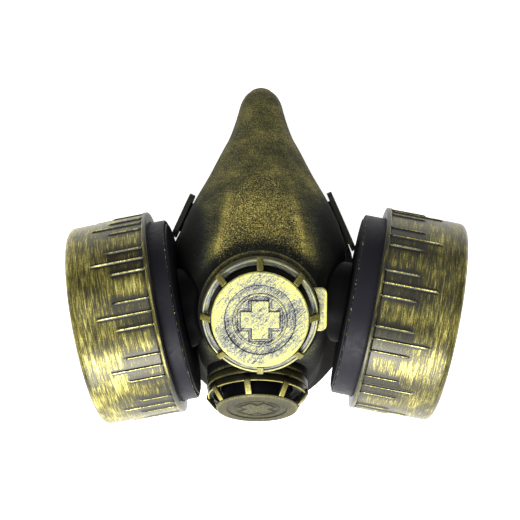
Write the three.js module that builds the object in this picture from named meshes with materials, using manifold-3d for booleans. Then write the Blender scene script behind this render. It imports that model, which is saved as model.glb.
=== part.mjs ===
// Half-face respirator of the costume kind, lying face up: a hollow moulded facepiece with a round
// breathing valve in front, a second one under the chin, a drum filter on each cheek and two strap lugs.
// Millimetres. +Z points out of the face, +Y to the bridge of the nose and +X to the wearer's left.
import * as THREE from "three";
import { mergeVertices } from "three/addons/utils/BufferGeometryUtils.js";
import Module from "manifold-3d";

const clearance = 0.35; // between pieces that touch on the real mask
const radians = THREE.MathUtils.degToRad;

// Facepiece
const faceLength = 172.5; // chin edge to nose edge
const faceWidth = 102; // across the cheeks, at the edge
const snoutHeight = 82; // edge plane to the highest point of the snout
const faceWall = 2.4;
const lipHeight = 10; // the edge flares outwards below this
const stations = 21; // rings of the facepiece along its length
const stepsPerSpan = 3; // outline steps between two named points of a section
const noseNotchWidth = 15;
const noseNotchHeight = 7;

// Each row is one section of the facepiece. along is a share of faceLength from the chin. The half widths
// rim, lip, wall and shoulder are shares of half of faceWidth. lipUp is a share of lipHeight, and wallUp,
// shoulderUp and crest are shares of snoutHeight.
const sections = [
  { along: 0.0, rim: 0.06, lip: 0.055, wall: 0.045, shoulder: 0.03, lipUp: 0.2, wallUp: 0.05, shoulderUp: 0.06, crest: 0.07 },
  { along: 0.012, rim: 0.28, lip: 0.26, wall: 0.22, shoulder: 0.15, lipUp: 0.45, wallUp: 0.09, shoulderUp: 0.115, crest: 0.13 },
  { along: 0.038, rim: 0.48, lip: 0.42, wall: 0.36, shoulder: 0.26, lipUp: 0.7, wallUp: 0.14, shoulderUp: 0.185, crest: 0.215 },
  { along: 0.075, rim: 0.64, lip: 0.55, wall: 0.48, shoulder: 0.36, lipUp: 0.85, wallUp: 0.22, shoulderUp: 0.3, crest: 0.35 },
  { along: 0.118, rim: 0.77, lip: 0.63, wall: 0.56, shoulder: 0.45, lipUp: 0.93, wallUp: 0.32, shoulderUp: 0.45, crest: 0.515 },
  { along: 0.158, rim: 0.86, lip: 0.66, wall: 0.605, shoulder: 0.505, lipUp: 1, wallUp: 0.42, shoulderUp: 0.6, crest: 0.68 },
  { along: 0.19, rim: 0.905, lip: 0.68, wall: 0.632, shoulder: 0.53, lipUp: 1, wallUp: 0.49, shoulderUp: 0.715, crest: 0.8 },
  { along: 0.235, rim: 0.945, lip: 0.7, wall: 0.663, shoulder: 0.545, lipUp: 1, wallUp: 0.55, shoulderUp: 0.82, crest: 0.9 },
  { along: 0.32, rim: 0.985, lip: 0.745, wall: 0.72, shoulder: 0.56, lipUp: 1, wallUp: 0.6, shoulderUp: 0.9, crest: 0.965 },
  { along: 0.41, rim: 1, lip: 0.8, wall: 0.78, shoulder: 0.54, lipUp: 1, wallUp: 0.61, shoulderUp: 0.925, crest: 0.99 },
  { along: 0.485, rim: 0.975, lip: 0.845, wall: 0.825, shoulder: 0.51, lipUp: 1, wallUp: 0.6, shoulderUp: 0.925, crest: 0.995 },
  { along: 0.56, rim: 0.86, lip: 0.785, wall: 0.765, shoulder: 0.45, lipUp: 1, wallUp: 0.55, shoulderUp: 0.85, crest: 0.92 },
  { along: 0.64, rim: 0.723, lip: 0.675, wall: 0.65, shoulder: 0.365, lipUp: 1, wallUp: 0.48, shoulderUp: 0.74, crest: 0.81 },
  { along: 0.715, rim: 0.57, lip: 0.535, wall: 0.515, shoulder: 0.29, lipUp: 1, wallUp: 0.41, shoulderUp: 0.62, crest: 0.685 },
  { along: 0.79, rim: 0.441, lip: 0.415, wall: 0.395, shoulder: 0.235, lipUp: 0.9, wallUp: 0.33, shoulderUp: 0.505, crest: 0.56 },
  { along: 0.86, rim: 0.327, lip: 0.31, wall: 0.28, shoulder: 0.195, lipUp: 0.8, wallUp: 0.26, shoulderUp: 0.395, crest: 0.45 },
  { along: 0.918, rim: 0.255, lip: 0.247, wall: 0.232, shoulder: 0.168, lipUp: 0.7, wallUp: 0.205, shoulderUp: 0.315, crest: 0.365 },
  { along: 0.962, rim: 0.195, lip: 0.199, wall: 0.185, shoulder: 0.135, lipUp: 0.6, wallUp: 0.165, shoulderUp: 0.25, crest: 0.29 },
  { along: 0.987, rim: 0.12, lip: 0.132, wall: 0.12, shoulder: 0.085, lipUp: 0.45, wallUp: 0.13, shoulderUp: 0.19, crest: 0.22 },
  { along: 1.0, rim: 0.035, lip: 0.038, wall: 0.034, shoulder: 0.025, lipUp: 0.3, wallUp: 0.085, shoulderUp: 0.12, crest: 0.14 },
];

// Valves: a round seat moulded on the facepiece carries a collar, a cage of ribs and a faced disc.
// along is a share of faceLength, aside a distance along X, and tilt and the two turns are in degrees.
const frontValve = {
  name: "front_valve",
  along: 0.322,
  aside: -0.5,
  tilt: 11.1,
  seatRadius: 29.4,
  rimRadius: 26.8,
  cageTurn: 0,
  crossTurn: 0,
};
const lowerValve = {
  name: "lower_valve",
  along: 0.117,
  aside: -2,
  tilt: 63.2,
  seatRadius: 25.6,
  rimRadius: 25,
  cageTurn: -11,
  crossTurn: 45,
};
const seatHeight = 3;
const seatRoot = 12; // how far the seat reaches back into the facepiece
const collarHeight = 3.7;
const collarProud = 0.6;
const drumGap = 1.2; // between the dark drum under the disc and the collar round it
const drumRadiusShare = 0.68; // of the rim radius
const ringHeight = 3;
const ringWidth = 2.7;
const ringLipWidth = 0.9;
const ringLipHeight = 0.6;
const ribCount = 8;
const ribWidth = 3;
const ribProud = 1; // beyond the rim
const ribDepth = 2.6;
const discRise = 7.2; // ring top to disc face
const discInset = 4.4; // rim radius less disc radius
const discThickness = 2;
const discBandShare = 0.73; // where the disc's face first steps down, of its radius
const discRingShare = 0.54; // the thin raised ring round the cross
const discRingWidth = 0.7;
const discStep = 0.5;
const crossSpanShare = 0.4; // half the cross, of the disc's radius
const crossArmShare = 0.175; // half an arm's width
const crossRise = 0.7;
const valveFacets = 32;
const valveHeight = collarHeight + ringHeight + discRise + 2 * clearance; // seat to disc face

// The ear that stands out beside the front collar
const earLength = 20.5;
const earReach = 4.4; // beyond the cage's rim
const earThickness = 2.4;
const earCorner = 2.5;
const earOffset = 2; // towards the nose

// Filters: a neck on the cheek carries a black base, and a can with raised marks closes over it.
const filterDroop = 10.9; // degrees, towards the chin
const lipToBase = 1.4; // the base's lowest point over the flared lip
const neckRadius = 20;
const neckFacets = 26;
const neckRoot = 12; // how far the neck runs back to meet the cheek
const baseRadius = 44.6;
const baseBevel = 1;
const baseStepInset = 2.2; // the step on its inner face, inside its edge
const baseStepHeight = 0.7;
const baseWall = 2.5;
const baseLength = 16;
const canMouthWall = 4.25; // the can's wall at its mouth, where it grips the base
const canRadius = baseRadius + clearance + canMouthWall;
const canWall = 2;
const canLength = 39.5; // mouth to outer face
const canEdgeRadius = 3;
const mouthLipLength = 3.1;
const beadProud = 1.2;
const beadLength = 2.7;
const markGroups = 12;
const markPitch = 7; // degrees between the three marks of a group
const markWidth = 1;
const markRise = 0.7;
const markRoot = 1.2; // a mark's depth inside the can's wall
const longMark = 23.7;
const shortMark = 15.5;
const filterFacets = 40;

// The two filters don't sit quite alike. along is a share of faceLength, turn and rise are in degrees,
// standOff runs from the cheek to the base, and mouth from the base's inner face to the can's mouth.
const filters = [
  { side: "left", sign: 1, along: 0.338, turn: 14, rise: 3.2, standOff: 4.9, mouth: 10.6 },
  { side: "right", sign: -1, along: 0.323, turn: -4, rise: 0, standOff: 1.3, mouth: 8.4 },
];

// Strap lugs: slotted plates that stand on the flared lip. along is a share of faceLength, and lean is in
// degrees inwards.
const lugs = [
  { side: "left", sign: 1, along: 0.582, length: 34, lean: 6 },
  { side: "right", sign: -1, along: 0.6, length: 25, lean: 2 },
];
const lugHeight = 18;
const lugThickness = 2.6;
const lugCorner = 4;
const lugLift = 2.4; // its rear edge over the edge plane
const lugSplay = 3; // degrees, its front end away from the facepiece
const lugFoot = 7; // how far its foot reaches in to the lip
const lugProud = 1.5; // its middle beyond the facepiece's edge
const slotMargin = 6.5; // from the slot to each end of its lug
const slotWidth = 6.5;

const antiqueGold = new THREE.MeshStandardMaterial({ color: 0x8d8238, roughness: 0.42, metalness: 0.75 });
const paleGold = new THREE.MeshStandardMaterial({ color: 0xd8cf7a, roughness: 0.38, metalness: 0.75 });
const blackPlastic = new THREE.MeshStandardMaterial({ color: 0x24222a, roughness: 0.45, metalness: 0 });

const wasm = await Module();
wasm.setup();

// Turns a closed geometry into a solid that can be joined and cut.
function solidOf(geometry) {
  const bare = geometry.index ? geometry.toNonIndexed() : geometry.clone();
  bare.deleteAttribute("normal");
  bare.deleteAttribute("uv");
  const merged = mergeVertices(bare, 1e-4);
  return new wasm.Manifold(
    new wasm.Mesh({
      numProp: 3,
      vertProperties: merged.attributes.position.array,
      triVerts: new Uint32Array(merged.index.array),
    }),
  );
}

// Turns a solid back into a geometry with its faces' own normals.
function geometryOf(solid) {
  const mesh = solid.getMesh();
  const positions = new Float32Array(mesh.numVert * 3);
  for (let i = 0; i < mesh.numVert; i++) {
    positions.set(mesh.vertProperties.subarray(i * mesh.numProp, i * mesh.numProp + 3), i * 3);
  }
  const indexed = new THREE.BufferGeometry();
  indexed.setAttribute("position", new THREE.BufferAttribute(positions, 3));
  indexed.setIndex(new THREE.BufferAttribute(mesh.triVerts, 1));
  const faceted = indexed.toNonIndexed();
  faceted.computeVertexNormals();
  return faceted;
}

function joined(geometries) {
  return geometries.map(solidOf).reduce((whole, piece) => whole.add(piece));
}

function named(name, geometry, material) {
  const mesh = new THREE.Mesh(geometry, material);
  mesh.name = name;
  return mesh;
}

// Revolves a profile of [radius, height] points about +Y. The points run up the inside or the axis first
// and down the outside after it, so that the faces point out.
function revolved(profile, facets, closed = false) {
  const points = profile.map(([radius, height]) => new THREE.Vector2(radius, height));
  if (closed) points.push(points[0].clone());
  return new THREE.LatheGeometry(points.reverse(), facets);
}

// The rounded rectangle from (-width/2, -height/2) to (width/2, height/2).
function roundedRectangle(width, height, corner, outline = new THREE.Shape()) {
  const x = width / 2;
  const y = height / 2;
  outline.moveTo(-x + corner, -y);
  outline.lineTo(x - corner, -y);
  outline.absarc(x - corner, -y + corner, corner, -Math.PI / 2, 0, false);
  outline.lineTo(x, y - corner);
  outline.absarc(x - corner, y - corner, corner, 0, Math.PI / 2, false);
  outline.lineTo(-x + corner, y);
  outline.absarc(-x + corner, y - corner, corner, Math.PI / 2, Math.PI, false);
  outline.lineTo(-x, -y + corner);
  outline.absarc(-x + corner, -y + corner, corner, Math.PI, Math.PI * 1.5, false);
  return outline;
}

// Facepiece

const columns = Object.keys(sections[0]).filter((column) => column !== "along");
const sectionTrack = new THREE.CubicInterpolant(
  sections.map((section) => section.along),
  sections.flatMap((section) => columns.map((column) => section[column])),
  columns.length,
);

// The sizes of the section at a share of the facepiece's length, in millimetres.
function sectionAt(along) {
  const shares = Object.fromEntries([...sectionTrack.evaluate(along)].map((value, i) => [columns[i], value]));
  const halfWidth = faceWidth / 2;
  return {
    y: (along - 0.5) * faceLength,
    rim: shares.rim * halfWidth,
    lip: shares.lip * halfWidth,
    wall: shares.wall * halfWidth,
    shoulder: shares.shoulder * halfWidth,
    lipUp: shares.lipUp * lipHeight,
    wallUp: shares.wallUp * snoutHeight,
    shoulderUp: shares.shoulderUp * snoutHeight,
    crest: shares.crest * snoutHeight,
  };
}

// One ring of the facepiece: a smooth outline from edge to edge over the crest. A positive grow moves it
// outwards and a negative one inwards, never past a sliver of its own width.
function sectionRing(along, grow, floor) {
  const s = sectionAt(along);
  const wide = (half) => Math.max(half + grow, half * 0.2);
  const high = (up) => Math.max(up + grow, up * 0.2);
  const half = [
    [wide(s.rim), floor],
    [wide(s.lip), s.lipUp],
    [wide(s.wall), Math.max(high(s.wallUp), s.lipUp * 1.05)],
    [wide(s.shoulder), Math.max(high(s.shoulderUp), s.lipUp * 1.1)],
  ];
  const crest = new THREE.Vector2(0, Math.max(high(s.crest), s.lipUp * 1.15));
  const outline = new THREE.SplineCurve([
    ...half.map(([x, z]) => new THREE.Vector2(x, z)),
    crest,
    ...half.toReversed().map(([x, z]) => new THREE.Vector2(-x, z)),
  ]);
  return outline.getPoints(half.length * 2 * stepsPerSpan).map((p) => [p.x, s.y, Math.max(p.y, floor)]);
}

// Skins rings of equal count into one closed surface, with a fan at each end.
function lofted(rings) {
  const count = rings[0].length;
  const index = [];
  for (let i = 0; i + 1 < rings.length; i++) {
    for (let j = 0; j < count; j++) {
      const a = i * count + j;
      const b = i * count + ((j + 1) % count);
      index.push(a, a + count, b, b, a + count, b + count);
    }
  }
  const last = (rings.length - 1) * count;
  for (let j = 1; j + 1 < count; j++) {
    index.push(0, j, j + 1);
    index.push(last, last + j + 1, last + j);
  }
  const geometry = new THREE.BufferGeometry();
  geometry.setAttribute("position", new THREE.Float32BufferAttribute(rings.flat(2), 3));
  geometry.setIndex(index);
  return geometry;
}

// The facepiece's outer form, closed at the edge plane. Stations crowd towards both ends, where it rounds off.
function faceForm(grow, floor) {
  const inset = Math.max(-grow, 0) / faceLength;
  const rings = [];
  for (let i = 0; i < stations; i++) {
    const eased = 0.5 - 0.5 * Math.cos((Math.PI * i) / (stations - 1));
    rings.push(sectionRing(THREE.MathUtils.lerp(inset, 1 - inset, eased), grow, floor));
  }
  return lofted(rings);
}

// The frame of a valve: its origin on the facepiece's crest, and +Y along the valve's axis.
function valveGroup(valve) {
  const section = sectionAt(valve.along);
  const group = new THREE.Group();
  group.position.set(valve.aside, section.y, section.crest);
  group.rotation.x = radians(90 + valve.tilt);
  group.updateMatrix();
  return group;
}

// The seat that is moulded on the facepiece under a valve.
function valveSeat(valve, grow) {
  const height = seatRoot + seatHeight + grow;
  const radius = valve.seatRadius + grow;
  const seat = new THREE.CylinderGeometry(radius, radius, height, valveFacets);
  seat.translate(0, seatHeight + grow - height / 2, 0);
  return seat.applyMatrix4(valveGroup(valve).matrix);
}

function noseNotch() {
  const arch = new THREE.Shape();
  arch.absellipse(0, 0, noseNotchWidth / 2, noseNotchHeight, 0, Math.PI * 2, false, 0);
  const notch = new THREE.ExtrudeGeometry(arch, {
    depth: noseNotchWidth,
    bevelEnabled: false,
    curveSegments: 8,
  });
  notch.rotateX(Math.PI / 2);
  return notch.translate(0, faceLength / 2 + noseNotchWidth / 3, 0);
}

// The room in front of a seat, which the facepiece leaves to its valve.
function valveRoom(valve) {
  const radius = valve.rimRadius + Math.max(collarProud, ribProud) + clearance;
  const room = new THREE.CylinderGeometry(radius, radius, valveHeight, valveFacets);
  room.translate(0, seatHeight + valveHeight / 2, 0);
  return room.applyMatrix4(valveGroup(valve).matrix);
}

const outerForm = joined([faceForm(0, 0), valveSeat(frontValve, 0)])
  .subtract(solidOf(valveRoom(lowerValve)))
  .add(solidOf(valveSeat(lowerValve, 0)))
  .subtract(solidOf(valveRoom(frontValve)));
const keepOut = joined([
  faceForm(clearance, 0),
  valveSeat(frontValve, clearance),
  valveSeat(lowerValve, clearance),
]);

function facepiece() {
  const shell = outerForm.subtract(solidOf(faceForm(-faceWall, -faceWall))).subtract(solidOf(noseNotch()));
  return named("facepiece", geometryOf(shell), antiqueGold);
}

// Valves

function valveCollar(valve) {
  const outer = valve.rimRadius + collarProud;
  const inner = valve.rimRadius * drumRadiusShare + drumGap;
  const foot = seatHeight + clearance;
  const top = foot + collarHeight;
  const bevel = 1;
  const profile = [
    [inner, foot],
    [inner, top],
    [outer - bevel, top],
    [outer, top - bevel],
    [outer, foot],
  ];
  return revolved(profile, valveFacets, true);
}

const ringFoot = seatHeight + collarHeight + 2 * clearance;
const ringTop = ringFoot + ringHeight;

// The cage: a flat ring with a thin lip, and slanted ribs that close in on the disc.
function valveCage(valve) {
  const rim = valve.rimRadius;
  const disc = rim - discInset;
  const lip = rim - ringLipWidth;
  const ring = revolved(
    [
      [rim - ringWidth, ringFoot],
      [rim - ringWidth, ringTop],
      [lip, ringTop],
      [lip, ringTop + ringLipHeight],
      [rim, ringTop + ringLipHeight],
      [rim, ringFoot],
    ],
    valveFacets,
    true,
  );
  const inner = disc + clearance;
  const crown = ringTop + discRise - clearance;
  const side = new THREE.Shape(
    [
      [rim - ringWidth * 0.7, ringTop - ringHeight / 3],
      [rim + ribProud, ringFoot + ringHeight / 3],
      [rim + ribProud, ringTop + ringLipHeight],
      [inner, crown],
      [inner, crown - ribDepth],
      [rim - ringWidth * 0.7, ringTop + ribDepth / 2],
    ].map(([x, y]) => new THREE.Vector2(x, y)),
  );
  const ribs = Array.from({ length: ribCount }, (_, i) => {
    const rib = new THREE.ExtrudeGeometry(side, { depth: ribWidth, bevelEnabled: false });
    rib.translate(0, 0, -ribWidth / 2);
    return rib.rotateY(Math.PI / 2 + (i * 2 * Math.PI) / ribCount);
  });
  return geometryOf(joined([ring, ...ribs]));
}

// The disc: a drum that stands on the seat, a stepped face, a thin ring and an even-armed cross.
function valveDisc(valve) {
  const radius = valve.rimRadius - discInset;
  const face = ringTop + discRise;
  const floor = face - discStep;
  const drum = valve.rimRadius * drumRadiusShare;
  const band = radius * discBandShare;
  const ringOuter = radius * discRingShare;
  const ringInner = ringOuter - discRingWidth;
  const bevel = 0.5;
  const body = revolved(
    [
      [0, face - discStep],
      [ringInner, floor],
      [ringInner, face],
      [ringOuter, face],
      [ringOuter, floor],
      [band, floor],
      [band, face],
      [radius - bevel, face],
      [radius, face - bevel],
      [radius, face - discThickness],
      [drum, face - discThickness],
      [drum, seatHeight + clearance],
      [0, seatHeight + clearance],
    ],
    valveFacets,
  );
  const arm = radius * crossArmShare;
  const span = radius * crossSpanShare;
  const corners = [0, 1, 2, 3].flatMap((quarter) =>
    [
      [span, -arm],
      [span, arm],
      [arm, arm],
    ].map(([x, y]) => new THREE.Vector2(x, y).rotateAround(new THREE.Vector2(), (quarter * Math.PI) / 2)),
  );
  const cross = new THREE.ExtrudeGeometry(new THREE.Shape(corners), {
    depth: crossRise + discStep,
    bevelEnabled: false,
  });
  cross.rotateX(-Math.PI / 2);
  cross.translate(0, floor - discStep, 0);
  return geometryOf(joined([body, cross]));
}

function valveEar(valve) {
  const inner = valve.rimRadius + collarProud + clearance;
  const outer = valve.rimRadius + earReach + earCorner;
  const plate = new THREE.ExtrudeGeometry(roundedRectangle(outer * 2, earLength, earCorner), {
    depth: earThickness,
    bevelEnabled: false,
    curveSegments: 5,
  });
  plate.rotateX(-Math.PI / 2);
  plate.translate(-earCorner, seatHeight + 2 * clearance, -earOffset);
  const bore = new THREE.CylinderGeometry(inner, inner, 4 * earThickness, valveFacets);
  bore.translate(0, seatHeight, 0);
  const farHalf = new THREE.BoxGeometry(4 * outer, 4 * earThickness + 2 * seatHeight, 4 * outer);
  farHalf.translate(-2 * outer, seatHeight, 0);
  return geometryOf(solidOf(plate).subtract(solidOf(bore)).subtract(solidOf(farHalf)));
}

function valveAssembly(valve) {
  const group = valveGroup(valve);
  const cage = named(`${valve.name}_cage`, valveCage(valve), antiqueGold);
  const disc = named(`${valve.name}_disc`, valveDisc(valve), paleGold);
  cage.rotation.y = radians(valve.cageTurn);
  disc.rotation.y = radians(valve.crossTurn);
  group.add(named(`${valve.name}_collar`, valveCollar(valve), antiqueGold), cage, disc);
  return group;
}

// Filters

const filterHeight = lipHeight + lipToBase + baseRadius;

// A filter's frame: its origin at the middle of the base's inner face, and +Y along the drum's axis.
function filterGroup({ sign, along, rise, standOff }) {
  const section = sectionAt(along);
  const group = new THREE.Group();
  group.position.set(sign * (section.wall + standOff), section.y, filterHeight);
  group.rotation.z = -sign * radians(90 + filterDroop);
  group.rotateX(radians(rise));
  group.updateMatrix();
  return group;
}

// The neck runs from the base back to the cheek, and its end follows the cheek's own surface.
function filterNeck(group) {
  const length = neckRoot - clearance;
  const neck = new THREE.CylinderGeometry(neckRadius, neckRadius, length, neckFacets);
  neck.translate(0, -clearance - length / 2, 0);
  neck.applyMatrix4(group.matrix);
  const outside = solidOf(neck).subtract(keepOut).decompose();
  const widest = outside.reduce((best, piece) => (piece.volume() > best.volume() ? piece : best));
  return geometryOf(widest).applyMatrix4(group.matrix.clone().invert());
}

function filterBase() {
  return revolved(
    [
      [0, baseStepHeight + baseWall],
      [baseRadius - baseWall, baseStepHeight + baseWall],
      [baseRadius - baseWall, baseLength],
      [baseRadius, baseLength],
      [baseRadius, baseStepHeight + baseBevel],
      [baseRadius - baseBevel, baseStepHeight],
      [baseRadius - baseStepInset, baseStepHeight],
      [baseRadius - baseStepInset, 0],
      [0, 0],
    ],
    filterFacets,
  );
}

// The can: a cup with a lip that grips the base, a bead round its mouth and groups of three raised marks.
function filterCan(mouth) {
  const end = mouth + canLength;
  const grip = baseRadius + clearance;
  const bead = canRadius + beadProud;
  const beadStep = beadLength / 3;
  const edge = [0, 1, 2, 3].map((i) => {
    const angle = (i / 3) * (Math.PI / 2);
    return [
      canRadius - canEdgeRadius + canEdgeRadius * Math.sin(angle),
      end - canEdgeRadius + canEdgeRadius * Math.cos(angle),
    ];
  });
  const cup = revolved(
    [
      [0, end],
      ...edge,
      [canRadius, mouth + beadLength],
      [bead, mouth + beadLength - beadStep],
      [bead, mouth + beadStep],
      [canRadius, mouth],
      [grip, mouth],
      [grip, mouth + mouthLipLength],
      [canRadius - canWall, mouth + mouthLipLength],
      [canRadius - canWall, end - canWall],
      [0, end - canWall],
    ],
    filterFacets,
  );
  const marks = [];
  for (let group = 0; group < markGroups; group++) {
    for (const step of [-1, 0, 1]) {
      const length = step === 0 ? longMark : shortMark;
      const mark = new THREE.BoxGeometry(markWidth, length, markRoot + markRise);
      const middle = mouth + beadLength + (length - beadStep) / 2;
      mark.translate(0, middle, canRadius + (markRise - markRoot) / 2);
      marks.push(mark.rotateY(radians((group * 360) / markGroups + step * markPitch)));
    }
  }
  return geometryOf(joined([cup, ...marks]));
}

function filterAssembly(filter) {
  const group = filterGroup(filter);
  const can = named(`filter_can_${filter.side}`, filterCan(filter.mouth), antiqueGold);
  can.rotation.y = filter.sign * radians(filter.turn);
  group.add(
    named(`filter_neck_${filter.side}`, filterNeck(group), blackPlastic),
    named(`filter_base_${filter.side}`, filterBase(), blackPlastic),
    can,
  );
  return group;
}

// Strap lugs

// A lug stands on the lip: its plate runs along the facepiece's edge, and its foot follows the lip's surface.
function strapLug({ side, sign, along, length, lean }) {
  const reach = length / 2 / faceLength;
  const section = sectionAt(along);
  const ahead = sectionAt(along + reach);
  const behind = sectionAt(along - reach);
  const slant = Math.atan2(behind.rim - ahead.rim, ahead.y - behind.y);
  const outline = roundedRectangle(length, lugHeight, lugCorner);
  const slotLength = length - 2 * slotMargin;
  outline.holes.push(roundedRectangle(slotLength, slotWidth, slotWidth / 2 - 0.01, new THREE.Path()));
  const plate = new THREE.ExtrudeGeometry(outline, { depth: lugThickness, bevelEnabled: false, curveSegments: 3 });
  plate.translate(0, 0, -lugThickness / 2);
  const foot = new THREE.BoxGeometry(length - 2 * lugCorner, lugThickness, lugFoot);
  foot.translate(0, (lugThickness - lugHeight) / 2, (sign * lugFoot) / 2);
  const lug = geometryOf(joined([plate, foot]));
  lug.rotateX(Math.PI / 2 + sign * radians(lean));
  lug.rotateZ(-Math.PI / 2 + sign * (slant - radians(lugSplay)));
  lug.translate(sign * (section.rim + lugProud), section.y, lugLift + lugHeight / 2);
  const outside = solidOf(lug).subtract(keepOut).decompose();
  const widest = outside.reduce((best, piece) => (piece.volume() > best.volume() ? piece : best));
  return named(`strap_lug_${side}`, geometryOf(widest), antiqueGold);
}

// Assembly

const mask = new THREE.Group();
const front = valveAssembly(frontValve);
front.add(named("front_valve_ear", valveEar(frontValve), paleGold));
mask.add(facepiece(), front, valveAssembly(lowerValve));
for (const filter of filters) {
  mask.add(filterAssembly(filter));
}
for (const lug of lugs) {
  mask.add(strapLug(lug));
}

// The finished mask stands on its edge with its middle over the origin.
mask.updateMatrixWorld(true);
const extents = new THREE.Box3().setFromObject(mask, true);
const middle = extents.getCenter(new THREE.Vector3());
mask.position.set(-middle.x, -middle.y, -extents.min.z);

export default mask;
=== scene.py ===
"""Dresses the costume half-mask: smooth mouldings in black plastic, dry-brushed in antique gold.

Lengths in the classes are millimetres, as on the drawing, and become metres when a mesh is made. A dressed
piece stands exactly where the solid that it replaces stands.
"""

import logging
import math
from dataclasses import dataclass, field
from enum import Enum

import bpy
import numpy as np
from bpy.types import Material, NodeSocket
from mathutils import Matrix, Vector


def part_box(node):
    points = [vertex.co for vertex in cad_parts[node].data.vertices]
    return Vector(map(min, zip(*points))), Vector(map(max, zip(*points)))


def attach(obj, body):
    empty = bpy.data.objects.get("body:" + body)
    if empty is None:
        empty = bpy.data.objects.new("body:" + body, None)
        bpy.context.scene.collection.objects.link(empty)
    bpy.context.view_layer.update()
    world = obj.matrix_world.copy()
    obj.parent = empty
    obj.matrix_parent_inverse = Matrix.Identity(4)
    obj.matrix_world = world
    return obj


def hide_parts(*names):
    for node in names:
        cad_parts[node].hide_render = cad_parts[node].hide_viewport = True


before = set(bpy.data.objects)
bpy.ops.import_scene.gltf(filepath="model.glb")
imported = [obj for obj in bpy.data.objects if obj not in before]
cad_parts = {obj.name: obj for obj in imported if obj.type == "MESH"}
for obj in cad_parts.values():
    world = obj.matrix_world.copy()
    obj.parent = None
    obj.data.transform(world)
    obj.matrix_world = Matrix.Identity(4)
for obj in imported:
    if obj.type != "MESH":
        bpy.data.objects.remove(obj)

MM = 0.001
ROOT = "root"
log = logging.getLogger("mask")

Colour = tuple[float, float, float]
Stop = tuple[float, Colour]


class Slot(Enum):
    """The record's material slots."""

    ANTIQUE_GOLD = "antique_gold"
    PALE_GOLD = "pale_gold"
    BLACK_PLASTIC = "black_plastic"


class Side(Enum):
    """The wearer's sides. The value is the sign of X."""

    LEFT = 1
    RIGHT = -1


# Numbers


def smoothstep(low: float, high: float, value: np.ndarray) -> np.ndarray:
    """Rises smoothly from 0 at low to 1 at high, along 3t^2 - 2t^3.

    Args:
        low: Where the rise starts.
        high: Where it ends.
        value: The values to map.

    Returns:
        The mapped values.
    """
    t = np.clip((np.asarray(value, float) - low) / (high - low), 0.0, 1.0)
    return t * t * (3.0 - 2.0 * t)


def bell(value: np.ndarray, width: float) -> np.ndarray:
    """A bell curve of height 1 around 0, exp(-(value / width)^2)."""
    return np.exp(-((np.asarray(value, float) / width) ** 2))


def unit(vector: np.ndarray) -> np.ndarray:
    """The vector, or each row of vectors, at length 1."""
    vector = np.asarray(vector, float)
    return vector / np.linalg.norm(vector, axis=-1, keepdims=True)


def cubic(knots: np.ndarray, values: np.ndarray, at: np.ndarray) -> np.ndarray:
    """Interpolates rows of values with a Hermite cubic per span.

    The slope at a knot is the mean of the straight slopes on both sides of it.

    Args:
        knots: The K rising positions.
        values: The K rows of values.
        at: The N positions to evaluate.

    Returns:
        N rows of values.
    """
    slope = np.diff(values, axis=0) / np.diff(knots)[:, None]
    tangent = np.vstack([slope[:1], (slope[:-1] + slope[1:]) / 2, slope[-1:]])
    i = np.clip(np.searchsorted(knots, at, side="right") - 1, 0, len(knots) - 2)
    h = (knots[i + 1] - knots[i])[:, None]
    t = (at - knots[i])[:, None] / h
    return (
        values[i] * (2 * t**3 - 3 * t**2 + 1)
        + tangent[i] * h * (t**3 - 2 * t**2 + t)
        + values[i + 1] * (3 * t**2 - 2 * t**3)
        + tangent[i + 1] * h * (t**3 - t**2)
    )


def through_points(points: np.ndarray, count: int) -> np.ndarray:
    """A Catmull-Rom curve through points: each span is the cubic whose slopes come from its neighbours.

    Args:
        points: The K points, as an array whose second last axis runs along the curve.
        count: How many points to return.

    Returns:
        The curve, with count points on the second last axis.
    """
    spans = points.shape[-2] - 1
    where = np.linspace(0.0, spans, count)
    i = np.minimum(where.astype(int), spans - 1)
    t = (where - i)[:, None]
    before = points[..., np.maximum(i - 1, 0), :]
    start = points[..., i, :]
    end = points[..., i + 1, :]
    after = points[..., np.minimum(i + 2, spans), :]
    v0 = (end - before) * 0.5
    v1 = (after - start) * 0.5
    return (
        (2 * start - 2 * end + v0 + v1) * t**3
        + (-3 * start + 3 * end - 2 * v0 - v1) * t**2
        + v0 * t
        + start
    )


def filleted(corners: list[tuple[float, float, float]], steps: int = 4, closed: bool = False) -> np.ndarray:
    """A profile whose corners are rounded by arcs.

    Each corner is cut back by a length that its radius and turn give, an arc joins the cuts, and a support
    point stands a little outside each cut, so that shading stays flat beside the arc.

    Args:
        corners: (x, y, radius) per corner.
        steps: Spans on each arc.
        closed: Whether the last corner joins the first.

    Returns:
        The profile's points as rows.
    """
    count = len(corners)
    flat = np.array([c[:2] for c in corners], float)
    out: list[np.ndarray] = []
    for i, (*_, radius) in enumerate(corners):
        here = flat[i]
        ended = not closed and i in (0, count - 1)
        if ended or radius <= 0:
            out.append(here)
            continue
        back, ahead = flat[i - 1] - here, flat[(i + 1) % count] - here
        a, b = unit(back), unit(ahead)
        half = 0.5 * math.acos(float(np.clip(a @ b, -1, 1)))
        room = 0.45 * min(np.linalg.norm(back), np.linalg.norm(ahead))
        cut = min(radius / math.tan(half), room)
        support = min(cut * 1.35, room * 1.1)
        t = np.linspace(0.0, 1.0, steps + 1)[:, None]
        start, end = here + a * cut, here + b * cut
        weight = math.sin(half)
        bottom = (1 - t) ** 2 + 2 * weight * t * (1 - t) + t**2
        arc = ((1 - t) ** 2 * start + 2 * weight * t * (1 - t) * here + t**2 * end) / bottom
        out += [here + a * support, *arc, here + b * support]
    return np.array(out)


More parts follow.
